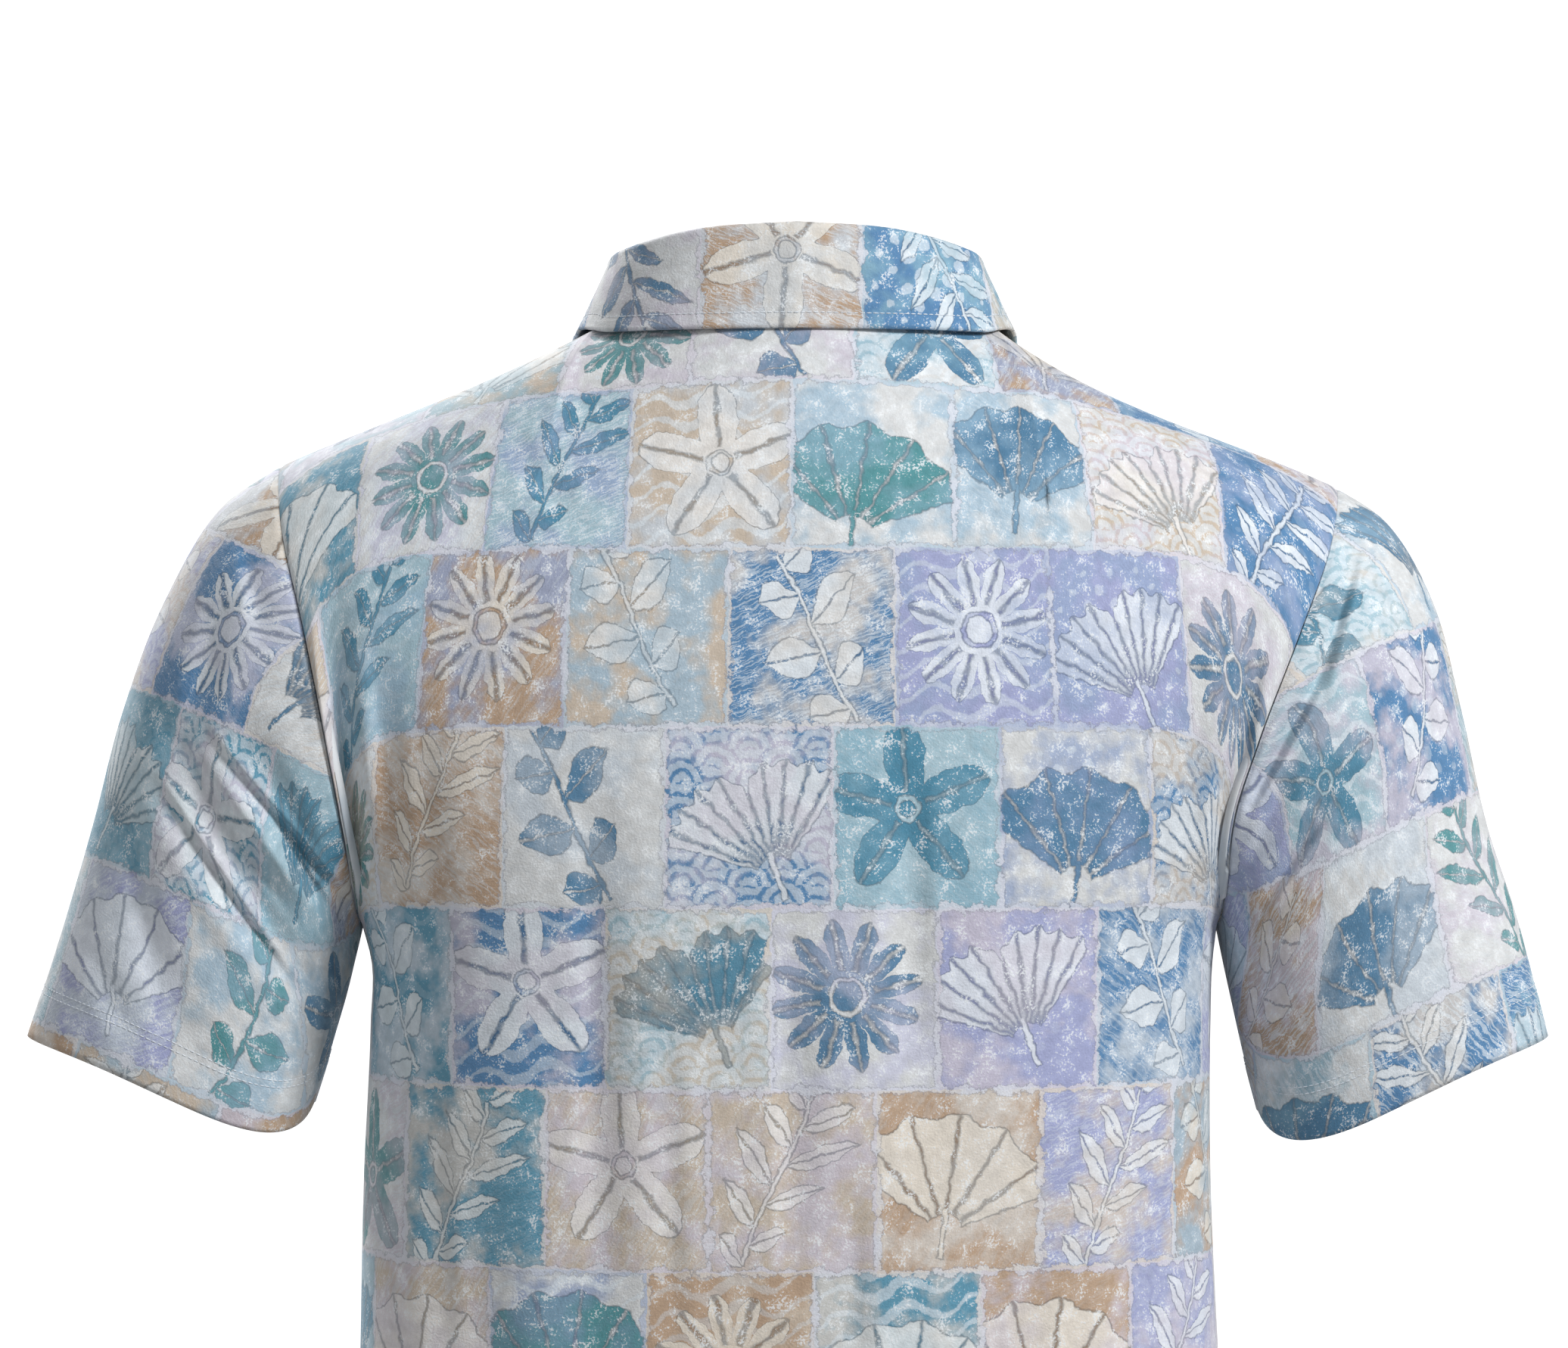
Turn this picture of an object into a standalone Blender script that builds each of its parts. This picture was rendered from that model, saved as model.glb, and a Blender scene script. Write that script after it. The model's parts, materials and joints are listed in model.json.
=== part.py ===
"""A short-sleeved polo shirt, filled out as if worn, each cut piece its own wall of cloth.

Metres. +Z is up, +Y is the wearer's back and +X the wearer's left. The origin is the middle of the
neck at the height of the high points of the shoulders, where a wearer holds the shirt up.

Every piece is one open grid of points on the outside of the cloth, worked out from the sizes and
tables below, and a Solidify modifier gives it its thickness on the inside.
"""

from collections import namedtuple
from math import asin, pi

import bpy
import numpy as np

# --- cloth ---------------------------------------------------------------------------------------
JERSEY = 0.0012  # thickness of the body and sleeve cloth
COLLAR_CLOTH = 0.0016
SEAM_GAP = 0.0003  # between pieces that are sewn to each other

# --- neck and shoulders --------------------------------------------------------------------------
NECK_X = -0.002  # the neck sits a little to the wearer's right of the body's middle
NECK_HALF = 0.086  # half the width of the neck seam
NECK_BACK = 0.062  # how far the neck seam reaches back and forward of the shoulder seams
NECK_FRONT = 0.083
NECK_SIDE_Z = 0.002
NECK_BACK_Z = 0.003
NECK_FRONT_Z = -0.080
NECK_DIP = 2.0  # the power with which the front neck drops
NECK_SHARE = 0.4377  # share of half a panel's columns that end on the neck seam
SLIT_HALF = 0.0152  # half the width of the front's slit, behind the placket

# --- armholes: a row is a height between the underarm (0) and the shoulder point (1), with the
# --- seam's distance out from the middle on the wearer's left and right ----------------------------
Armhole = namedtuple("Armhole", "rise left right")
ARMHOLE = [
    Armhole(0.00, 0.1980, 0.1960),
    Armhole(0.11, 0.1995, 0.1968),
    Armhole(0.25, 0.2035, 0.1990),
    Armhole(0.42, 0.2095, 0.2090),
    Armhole(0.67, 0.2205, 0.2285),
    Armhole(0.85, 0.2305, 0.2430),
    Armhole(1.00, 0.2360, 0.2516),
]
SHOULDER_Z = {1: -0.063, -1: -0.073}  # the shoulder points, on the wearer's left (1) and right (-1)
SHOULDER_X = {1: 0.236, -1: 0.2516}
SHOULDER_SAG = {1: 0.0025, -1: 0.0066}  # the shoulder seams' hollow near the neck
UNDERARM_Z = -0.274
ARMHOLE_BACK = 0.080
ARMHOLE_FRONT = 0.060
FRONT_TUCK = 0.008  # the front's armhole seam runs this much nearer to the middle
SIDE_PULL = (3, 2, 4)  # powers with which a panel's x, y and z turn to its armhole seams

# --- body: rings from the underarm to the hem ------------------------------------------------------
Ring = namedtuple("Ring", "z left right back front")
BODY = [
    Ring(-0.740, 0.204, 0.205, 0.117, 0.121),
    Ring(-0.600, 0.202, 0.202, 0.116, 0.126),
    Ring(-0.480, 0.199, 0.197, 0.117, 0.132),
    Ring(-0.387, 0.197, 0.193, 0.119, 0.136),
    Ring(-0.320, 0.194, 0.193, 0.120, 0.138),
    Ring(-0.290, 0.1937, 0.194, 0.121, 0.138),
    Ring(-0.274, 0.198, 0.196, 0.121, 0.137),
]
BODY_SQUARE = 2.4  # power of the rings' superellipse
HEM_Z = -0.740

# --- sleeves: sections from the armhole (0) to the hem (1) -----------------------------------------
Section = namedtuple("Section", "along outer_x outer_z inner_x inner_z back front")
SLEEVE = {
    1: [
        Section(0.00, 0.2360, -0.0630, 0.1980, -0.2740, 0.080, 0.060),
        Section(0.12, 0.2620, -0.0810, 0.1995, -0.2810, 0.079, 0.062),
        Section(0.30, 0.2890, -0.1245, 0.2020, -0.2915, 0.074, 0.066),
        Section(0.50, 0.3090, -0.1770, 0.2060, -0.3080, 0.068, 0.067),
        Section(0.70, 0.3230, -0.2300, 0.2110, -0.3250, 0.063, 0.066),
        Section(0.85, 0.3365, -0.2760, 0.2155, -0.3405, 0.060, 0.064),
        Section(1.00, 0.3525, -0.3255, 0.2205, -0.3560, 0.056, 0.062),
    ],
    -1: [
        Section(0.00, 0.2516, -0.0730, 0.1960, -0.2740, 0.080, 0.060),
        Section(0.12, 0.2730, -0.0875, 0.1972, -0.2800, 0.079, 0.062),
        Section(0.30, 0.2955, -0.1245, 0.1998, -0.2930, 0.074, 0.066),
        Section(0.50, 0.3095, -0.1770, 0.2035, -0.3100, 0.068, 0.067),
        Section(0.70, 0.3215, -0.2300, 0.2075, -0.3280, 0.063, 0.066),
        Section(0.85, 0.3355, -0.2730, 0.2110, -0.3430, 0.060, 0.064),
        Section(1.00, 0.3490, -0.3255, 0.2155, -0.3600, 0.056, 0.062),
    ],
}
HEM_DIP = 0.0080  # the sleeve's hem sags between its sides, most near the body
FRONT_DIP = 0.5  # share of that at the front
HEM_SOFTNESS = 0.05  # rounds the hem where it passes the underarm seam

# --- collar: half its sections, from the middle of the back (0 degrees) to its front end -----------
CollarSection = namedtuple("CollarSection", "turn fold_x fold_y fold_z edge_x edge_y edge_z")
COLLAR = [
    CollarSection(0, 0.0000, 0.057, 0.0450, 0.0000, 0.0700, -0.0035),
    CollarSection(30, 0.0400, 0.049, 0.0440, 0.0490, 0.0625, -0.0035),
    CollarSection(60, 0.0700, 0.027, 0.0410, 0.0860, 0.0380, -0.0030),
    CollarSection(90, 0.0805, -0.003, 0.0355, 0.1020, -0.0040, -0.0010),
    CollarSection(120, 0.0710, -0.043, 0.0120, 0.0990, -0.0585, -0.0240),
    CollarSection(150, 0.0420, -0.075, -0.0380, 0.0780, -0.0890, -0.0712),
    CollarSection(180, 0.0020, -0.086, -0.0640, 0.0435, -0.1095, -0.1105),
]
COLLAR_ROLL = 0.0035  # radius of the turn at the fold
COLLAR_END = 0.0016  # the two front ends stay this far from the middle
COLLAR_REST = 0.0036  # the fall's visible side stays at least this far off the shirt below it

# --- placket and buttons ---------------------------------------------------------------------------
PLACKET_HALF = 0.017
PLACKET_END_Z = -0.240
PLACKET_TOP = 0.001  # below the neck seam
PLACKET_ROWS = 10
PLACKET_COLUMNS = 4
BUTTON_ACROSS = 0.0115
BUTTON_THICK = 0.0026
BUTTON_RIM = 0.0006
BUTTON_SEAT = 0.0004  # from the upper strip
BUTTON_Z = (-0.096, -0.150, -0.204)

# --- folds: troughs as seen from the back or front, each from one end to the other ----------------
Fold = namedtuple("Fold", "x0 z0 x1 z1 width depth")
BACK_FOLDS = [
    Fold(0.209, -0.105, 0.190, -0.300, 0.014, 0.0055),
    Fold(0.176, -0.140, 0.172, -0.330, 0.018, 0.0030),
    Fold(-0.214, -0.120, -0.188, -0.290, 0.015, 0.0035),
    Fold(0.094, -0.180, 0.090, -0.560, 0.030, 0.0035),
    Fold(-0.056, -0.200, -0.060, -0.420, 0.026, 0.0025),
    Fold(0.140, -0.330, 0.136, -0.860, 0.026, 0.0060),
    Fold(0.020, -0.420, 0.030, -0.900, 0.034, 0.0055),
    Fold(-0.100, -0.360, -0.092, -0.860, 0.030, 0.0060),
    Fold(-0.158, -0.300, -0.160, -0.700, 0.022, 0.0035),
]
FRONT_FOLDS = [
    Fold(0.198, -0.130, 0.178, -0.330, 0.015, 0.0050),
    Fold(-0.202, -0.120, -0.176, -0.340, 0.016, 0.0045),
    Fold(0.110, -0.260, 0.118, -0.860, 0.032, 0.0060),
    Fold(0.048, -0.430, 0.040, -0.900, 0.028, 0.0045),
    Fold(-0.046, -0.380, -0.052, -0.880, 0.034, 0.0060),
    Fold(-0.128, -0.300, -0.124, -0.820, 0.026, 0.0050),
]
SLEEVE_FOLDS = {
    (1, "back"): [
        Fold(0.288, -0.170, 0.206, -0.322, 0.013, 0.0060),
        Fold(0.246, -0.180, 0.196, -0.286, 0.013, 0.0045),
        Fold(0.318, -0.230, 0.262, -0.350, 0.018, 0.0030),
    ],
    (1, "front"): [
        Fold(0.280, -0.150, 0.206, -0.320, 0.015, 0.0055),
        Fold(0.312, -0.210, 0.250, -0.360, 0.018, 0.0030),
    ],
    (-1, "back"): [
        Fold(-0.258, -0.095, -0.204, -0.222, 0.013, 0.0055),
        Fold(-0.250, -0.200, -0.200, -0.290, 0.013, 0.0045),
        Fold(-0.300, -0.250, -0.262, -0.360, 0.018, 0.0025),
    ],
    (-1, "front"): [
        Fold(-0.276, -0.140, -0.204, -0.300, 0.015, 0.0055),
        Fold(-0.308, -0.220, -0.244, -0.350, 0.018, 0.0030),
    ],
}
FOLD_FADE = 0.030  # folds die away over this distance from a seam
FOLD_RIDGE = 1.2  # how strongly the cloth rises beside a trough
FOLD_FACING = 1.5  # folds die away on cloth that turns from the view, with this power
FOLD_ENDS = 0.8

# --- looks: mean linear colour of the print, and each piece's share of its brightness ---------------
PRINT_BLUE = (0.33, 0.41, 0.47)
CLOTH_SHADES = {
    "back": 0.98,
    "front": 1.00,
    "sleeve_left": 0.94,
    "sleeve_right": 0.96,
    "collar": 0.90,
    "placket_over": 1.04,
    "placket_under": 1.08,
}
JERSEY_ROUGHNESS = 0.75
PEARL = (0.62, 0.66, 0.68)
PEARL_ROUGHNESS = 0.25

# --- how finely the pieces are divided --------------------------------------------------------------
NECK_COLUMNS = 7  # in each quarter of the neck
SHOULDER_COLUMNS = 10  # on each shoulder
ROWS_ABOVE = 13  # above the underarm, and in each half of a sleeve's round
ROWS_BELOW = 12
SLIT_ROWS = 2  # rows of the front between the underarm's height and the slit's foot
SLEEVE_ROWS = 12
SEAM_ROW = 0.2  # share of a row at which one more lies beside the shoulder seams
ROLL_TURNS = (-90, -30, 30, 90)  # degrees round the collar's fold
FALL_ROWS = 4


def lookup(table, name, at):
    """A table's named column at any value of its first one, as a smooth curve through the rows."""
    places = np.array([row[0] for row in table])
    values = np.array([getattr(row, name) for row in table])
    slopes = np.gradient(values, places)
    at = np.clip(at, places[0], places[-1])
    row = np.clip(np.searchsorted(places, at) - 1, 0, len(table) - 2)
    step = places[row + 1] - places[row]
    t = (at - places[row]) / step
    ends = values[row] * (1 + 2 * t) * (1 - t) ** 2 + values[row + 1] * (3 - 2 * t) * t**2
    return ends + step * t * (1 - t) * (slopes[row] * (1 - t) - slopes[row + 1] * t)


def by_side(u, values):
    """The wearer's left value where u is positive, the right one elsewhere."""
    return np.where(u >= 0, values[1], values[-1])


def points(x, y, z):
    return np.stack(np.broadcast_arrays(x, y, z), axis=-1)


# --- the surfaces -----------------------------------------------------------------------------------


def panel_columns():
    """Where the panels' columns run, from the wearer's right armhole (-1) to the left one (1)."""
    first = asin(SLIT_HALF / NECK_HALF) / (pi / 2)
    neck = NECK_SHARE * np.linspace(first, 1, NECK_COLUMNS)
    shoulder = np.linspace(NECK_SHARE, 1, SHOULDER_COLUMNS + 1)[1:]
    half = np.concatenate([neck, shoulder])
    return np.concatenate([-half[::-1], [0], half])


def rows_above():
    """The panels' rows from the underarm (0) to the neck and shoulders (1)."""
    rows = np.linspace(0, 1, ROWS_ABOVE + 1)
    return np.insert(rows, -1, 1 - SEAM_ROW / ROWS_ABOVE)


def top_edge(face, u):
    """The neck seam and both shoulder seams; face is 1 for the back and -1 for the front."""
    side = np.where(u >= 0, 1, -1)
    turn = pi / 2 * np.minimum(abs(u) / NECK_SHARE, 1)
    along = np.clip((abs(u) - NECK_SHARE) / (1 - NECK_SHARE), 0, 1)
    neck = neck_seam(np.where(face > 0, turn, pi - turn), side)
    shoulder_x = side * by_side(u, SHOULDER_X)
    sag = by_side(u, SHOULDER_SAG) * along * (1 - along) ** 2 * 27 / 4
    x = neck[..., 0] + (shoulder_x - neck[..., 0]) * along
    z = neck[..., 2] + (by_side(u, SHOULDER_Z) - neck[..., 2]) * along - sag
    return points(x, neck[..., 1], z)


def neck_seam(turn, side):
    """The neck seam, from the middle of the back (0) to the middle of the front (pi)."""
    level = np.cos(turn)
    reach = np.where(level > 0, NECK_BACK, NECK_FRONT)
    back_drop = (NECK_BACK_Z - NECK_SIDE_Z) * np.maximum(level, 0)
    front_drop = (NECK_FRONT_Z - NECK_SIDE_Z) * np.maximum(-level, 0) ** NECK_DIP
    x = NECK_X + side * NECK_HALF * np.sin(turn)
    return points(x, reach * level, NECK_SIDE_Z + back_drop + front_drop)


def armhole_seam(side, turn):
    """The armhole, from the underarm (0) up the back to the shoulder point (pi) and down the front."""
    rise = (1 - np.cos(turn)) / 2
    z = UNDERARM_Z + (SHOULDER_Z[side] - UNDERARM_Z) * rise
    out = np.sin(turn)
    reach = lookup(ARMHOLE, "left" if side > 0 else "right", rise) - FRONT_TUCK * np.maximum(-out, 0) ** 3
    return points(side * reach, np.where(out > 0, ARMHOLE_BACK, ARMHOLE_FRONT) * out, z)


def body_ring(face, u, z):
    """Half a ring of the body, from one side seam to the other."""
    across = np.sin(pi / 2 * u)
    half = np.where(u >= 0, lookup(BODY, "left", z), lookup(BODY, "right", z))
    depth = lookup(BODY, "back" if face > 0 else "front", z)
    bulge = np.maximum(1 - abs(across) ** BODY_SQUARE, 0) ** (1 / BODY_SQUARE)
    return points(half * across, face * depth * bulge, z)


def panel_surface(face, u, rise):
    """Back or front: rise runs from -1 at the hem by 0 at the underarm to 1 at the neck and shoulders."""
    u, rise = np.meshgrid(u, rise)
    low = body_ring(face, u, UNDERARM_Z + (HEM_Z - UNDERARM_Z) * np.maximum(-rise, 0))
    top = top_edge(face, u)
    up = np.maximum(rise, 0)
    lift = np.arccos(np.clip(top[..., 1] / np.where(low[..., 1] == 0, face, low[..., 1]), 0, 1))
    height = np.sin(lift * up) / np.sin(lift)
    reach = (np.cos(lift * up) - np.cos(lift)) / (1 - np.cos(lift))
    x = top[..., 0] + (low[..., 0] - top[..., 0]) * reach
    y = low[..., 1] * np.cos(lift * up)
    z = low[..., 2] + (top[..., 2] - low[..., 2]) * height
    surface = points(x, np.where(rise > 0, y, low[..., 1]), z)
    turn = pi * up if face > 0 else 2 * pi - pi * up
    for side in (1, -1):
        seam = armhole_seam(side, turn)
        edge = surface[:, -1 if side > 0 else 0][:, None, :]
        pull = np.where(side * u > 0, abs(u), 0)[..., None] ** np.array(SIDE_PULL)
        surface = surface + np.where(up[..., None] > 0, pull * (seam - edge), 0)
    return surface


def sleeve_surface(side, turn, along):
    """A sleeve: turn runs round it from the underarm, up the back, along from armhole to hem."""
    turn, along = np.meshgrid(turn, along)
    table = SLEEVE[side]
    outer_x, outer_z = lookup(table, "outer_x", along), lookup(table, "outer_z", along)
    inner_x, inner_z = lookup(table, "inner_x", along), lookup(table, "inner_z", along)
    level, out = np.cos(turn), np.sin(turn)
    seam = armhole_seam(side, turn)
    straight = (table[0].outer_x + table[0].inner_x) / 2 - (table[0].outer_x - table[0].inner_x) / 2 * level
    bow = (side * seam[..., 0] - straight) * (1 - along) ** 2
    x = (outer_x + inner_x) / 2 - (outer_x - inner_x) / 2 * level + bow
    y = np.where(out > 0, lookup(table, "back", along), lookup(table, "front", along)) * out
    sag = HEM_DIP * out**2 / np.sqrt(out**2 + HEM_SOFTNESS) * (1 + level) ** 2
    dip = sag * np.where(out > 0, 1, FRONT_DIP) * along**3
    z = (outer_z + inner_z) / 2 - (outer_z - inner_z) / 2 * level - dip
    return points(side * x, y, z)


def collar_surface():
    """The collar's visible side: up the inside of the stand, over the fold and down the fall."""
    quarter = np.degrees(np.linspace(asin(SLIT_HALF / NECK_HALF), pi / 2, NECK_COLUMNS))
    half = np.concatenate([quarter, 180 - quarter[-2::-1], [180]])
    turn = np.concatenate([-half[::-1], [0], half])
    side = np.where(turn >= 0, 1, -1)
    seam = neck_seam(np.radians(abs(turn)), side)
    fold_x, fold_y, fold_z, edge_x, edge_y, edge_z = (
        lookup(COLLAR, name, abs(turn)) for name in CollarSection._fields[1:]
    )
    fold = points(NECK_X + side * fold_x, fold_y, fold_z)
    edge = points(NECK_X + side * edge_x, edge_y, edge_z)
    for end, line in ((0, -COLLAR_END), (-1, COLLAR_END)):
        seam[end, 0] = line
        fold[end, 0] = line
    run = np.gradient(fold, axis=0)
    outward = points(run[:, 1], -run[:, 0], 0) * -1.0
    outward /= np.linalg.norm(outward, axis=-1, keepdims=True)
    up = np.array([0.0, 0.0, 1.0])
    base = seam + up * SEAM_GAP
    crown = fold - up * COLLAR_ROLL + outward * COLLAR_ROLL
    rows = [base, (base + crown - outward * COLLAR_ROLL) / 2]
    for angle in np.radians(ROLL_TURNS):
        rows.append(crown + COLLAR_ROLL * (outward * np.sin(angle) + up * np.cos(angle)))
    start = rows[-1]
    for row in range(1, FALL_ROWS + 1):
        rows.append(lie_off(start + (edge - start) * row / FALL_ROWS))
    return np.stack(rows)


def lie_off(line):
    """A line of points, moved out where it would lie closer to the shirt than the collar's fall does."""
    u, rise = np.linspace(-1, 1, 141), np.linspace(0.3, 1, 91)  # the shirt's upper part, finely
    panels = {face: panel_surface(face, u, rise) for face in (1, -1)}
    shirt = np.concatenate([grid.reshape(-1, 3) for grid in panels.values()])
    normal = np.concatenate([normals(grid, -face).reshape(-1, 3) for face, grid in panels.items()])
    nearest = np.array([np.argmin(np.sum((shirt - point) ** 2, axis=1)) for point in line])
    height = np.sum((line - shirt[nearest]) * normal[nearest], axis=1)
    return line + normal[nearest] * np.maximum(COLLAR_REST - height, 0)[:, None]


# --- folds, normals and seam gaps -------------------------------------------------------------------


def normals(grid, out):
    """Unit normals of a grid of points, turned to the side that out (1 or -1) picks."""
    normal = np.cross(np.gradient(grid, axis=1), np.gradient(grid, axis=0)) * out
    return normal / np.maximum(np.linalg.norm(normal, axis=-1, keepdims=True), 1e-12)


def fold_depth(folds, x, z):
    """How far in the cloth lies: a trough along each fold, with a low ridge on both sides of it."""
    total = np.zeros_like(x)
    for fold in folds:
        run = np.array([fold.x1 - fold.x0, fold.z1 - fold.z0])
        length = np.linalg.norm(run)
        t = ((x - fold.x0) * run[0] + (z - fold.z0) * run[1]) / length**2
        off = ((x - fold.x0) * run[1] - (z - fold.z0) * run[0]) / length / fold.width
        ends = np.sin(pi * np.clip(t, 0, 1)) ** FOLD_ENDS
        total += fold.depth * ends * (1 - FOLD_RIDGE * off**2) * np.exp(-(off**2))
    return total


def fade(distance):
    t = np.clip(distance / FOLD_FADE, 0, 1)
    return t * t * (3 - 2 * t)


def run_along(grid, axis):
    """Distance along a grid's lines from their first point."""
    steps = np.linalg.norm(np.diff(grid, axis=axis), axis=-1)
    start = np.zeros_like(np.take(steps, [0], axis=axis))
    return np.concatenate([start, np.cumsum(steps, axis=axis)], axis=axis)


def open_seams(grid, out):
    """Pull the grid's open edges back by half a seam gap, and lay the cloth that far inside."""
    normal = normals(grid, out)
    half = SEAM_GAP / 2
    moved = grid - normal * half
    rows, columns = grid.shape[:2]
    for line, inner in ((0, 1), (rows - 1, rows - 2)):
        moved[line] += half * across(grid[line], normal[line], grid[inner] - grid[line])
    for line, inner in ((0, 1), (columns - 1, columns - 2)):
        moved[:, line] += half * across(grid[:, line], normal[:, line], grid[:, inner] - grid[:, line])
    return moved


def across(edge, normal, inward):
    """Unit directions in the surface, square to an edge and towards the grid's inside."""
    direction = np.cross(np.gradient(edge, axis=0), normal)
    direction /= np.linalg.norm(direction, axis=-1, keepdims=True)
    return direction * np.sign(np.sum(direction * inward, axis=-1, keepdims=True))


def folded_panel(face):
    rise = np.concatenate([np.linspace(-1, 0, ROWS_BELOW + 1), rows_above()[1:]])
    grid = panel_surface(face, panel_columns(), rise)
    normal = normals(grid, -face)
    from_sides = run_along(grid, 1)
    from_sides = np.minimum(from_sides, from_sides[:, -1:] - from_sides)
    from_top = run_along(grid[::-1], 0)[::-1]
    folds = BACK_FOLDS if face > 0 else FRONT_FOLDS
    depth = fold_depth(folds, grid[..., 0], grid[..., 2]) * abs(normal[..., 1]) ** FOLD_FACING
    depth = depth * fade(from_sides) * fade(from_top)
    return grid - normal * depth[..., None]


def folded_sleeve(side):
    rows = rows_above()
    turn = pi * np.concatenate([rows, 2 - rows[-2::-1]])
    grid = sleeve_surface(side, turn, np.linspace(0, 1, SLEEVE_ROWS + 1))
    normal = closed_normals(grid, side)
    depth = np.zeros(grid.shape[:2])
    for half, sign in (("back", 1), ("front", -1)):
        troughs = fold_depth(SLEEVE_FOLDS[side, half], grid[..., 0], grid[..., 2])
        depth += troughs * np.maximum(sign * normal[..., 1], 0) ** FOLD_FACING
    depth *= fade(run_along(grid, 0))
    return grid - normal * depth[..., None]


def closed_normals(grid, out):
    """Normals of a grid whose first and last columns are the same line."""
    wide = np.concatenate([grid[:, -2:-1], grid, grid[:, 1:2]], axis=1)
    return normals(wide, out)[:, 1:-1]


# --- objects ----------------------------------------------------------------------------------------


def clear_scene():
    for item in list(bpy.data.objects):
        bpy.data.objects.remove(item, do_unlink=True)


def make_collection(name):
    collection = bpy.data.collections.new(name)
    bpy.context.scene.collection.children.link(collection)
    return collection


def make_material(name, colour, roughness, metallic=0.0):
    material = bpy.data.materials.new(name)
    material.use_nodes = True
    shader = material.node_tree.nodes["Principled BSDF"]
    shader.inputs["Base Color"].default_value = (*colour, 1)
    shader.inputs["Roughness"].default_value = roughness
    shader.inputs["Metallic"].default_value = metallic
    return material


def add_piece(collection, name, grid, out, thickness, material, closed=False, keep=None):
    """A grid of points as a wall of cloth; out is 1 where its faces as listed look outwards."""
    rows, columns = grid.shape[:2]
    last = columns - 1 if closed else columns
    index = np.arange(rows * last).reshape(rows, last)
    faces = []
    for row in range(rows - 1):
        for column in range(columns - 1):
            if keep is not None and not keep(row, column):
                continue
            ahead = (column + 1) % last
            face = [index[row, column], index[row, ahead], index[row + 1, ahead], index[row + 1, column]]
            faces.append([int(i) for i in (face if out > 0 else face[::-1])])
    mesh = bpy.data.meshes.new(name)
    vertices = [tuple(map(float, point)) for point in grid[:, :last].reshape(-1, 3)]
    used = sorted({i for face in faces for i in face})
    place = {old: new for new, old in enumerate(used)}
    mesh.from_pydata([vertices[i] for i in used], [], [[place[i] for i in face] for face in faces])
    mesh.materials.append(material)
    mesh.shade_smooth()
    piece = bpy.data.objects.new(name, mesh)
    collection.objects.link(piece)
    wall = piece.modifiers.new("wall", "SOLIDIFY")
    wall.thickness = thickness
    wall.offset = -1
    wall.use_even_offset = True
    return piece


def front_point(x, z):
    """The front's outside at a place in the placket's stretch, and its outward normal there."""
    rise = np.linspace(0, 1, 241)
    u = panel_columns()
    middle = len(u) // 2
    line = panel_surface(-1, np.array([-1, 0, u[middle + 1], 1]), rise)
    bend = (x / line[:, 2, 0]) ** 2
    line_y = line[:, 1, 1] + (line[:, 2, 1] - line[:, 1, 1]) * bend
    line_z = line[:, 1, 2] + (line[:, 2, 2] - line[:, 1, 2]) * bend
    y = np.interp(z, line_z, line_y)
    step = PLACKET_TOP
    slope = (np.interp(z + step, line_z, line_y) - np.interp(z - step, line_z, line_y)) / (2 * step)
    normal = np.array([0.0, -1.0, slope])
    return np.array([x, y, z]), normal / np.linalg.norm(normal)


def placket_grid(moved_out):
    """A strip over the slit, made from the front's points and moved out from them."""
    grid = np.zeros((PLACKET_ROWS + 1, PLACKET_COLUMNS + 1, 3))
    for column in range(PLACKET_COLUMNS + 1):
        x = PLACKET_HALF * (2 * column / PLACKET_COLUMNS - 1)
        turn = pi - asin(min(abs(x - NECK_X) / NECK_HALF, 1))
        top = float(neck_seam(np.array(turn), np.sign(x - NECK_X) or 1)[2]) - PLACKET_TOP
        for row in range(PLACKET_ROWS + 1):
            z = PLACKET_END_Z + (top - PLACKET_END_Z) * row / PLACKET_ROWS
            place, normal = front_point(x, z)
            grid[row, column] = place + normal * moved_out
    return grid


def add_button(collection, name, z, material):
    lift = SEAM_GAP + JERSEY + BUTTON_SEAT + BUTTON_THICK / 2
    place, normal = front_point(0.0, z)
    place = place + normal * lift
    bpy.ops.mesh.primitive_cylinder_add(vertices=20, radius=BUTTON_ACROSS / 2, depth=BUTTON_THICK)
    button = bpy.context.object
    button.name = name
    button.data.name = name
    button.location = place
    button.rotation_euler = (pi / 2 - np.arctan2(normal[2], -normal[1]), 0, 0)
    rim = button.modifiers.new("rim", "BEVEL")
    rim.width = BUTTON_RIM
    rim.segments = 1
    button.data.materials.append(material)
    for owner in list(button.users_collection):
        owner.objects.unlink(button)
    collection.objects.link(button)
    return button


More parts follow.
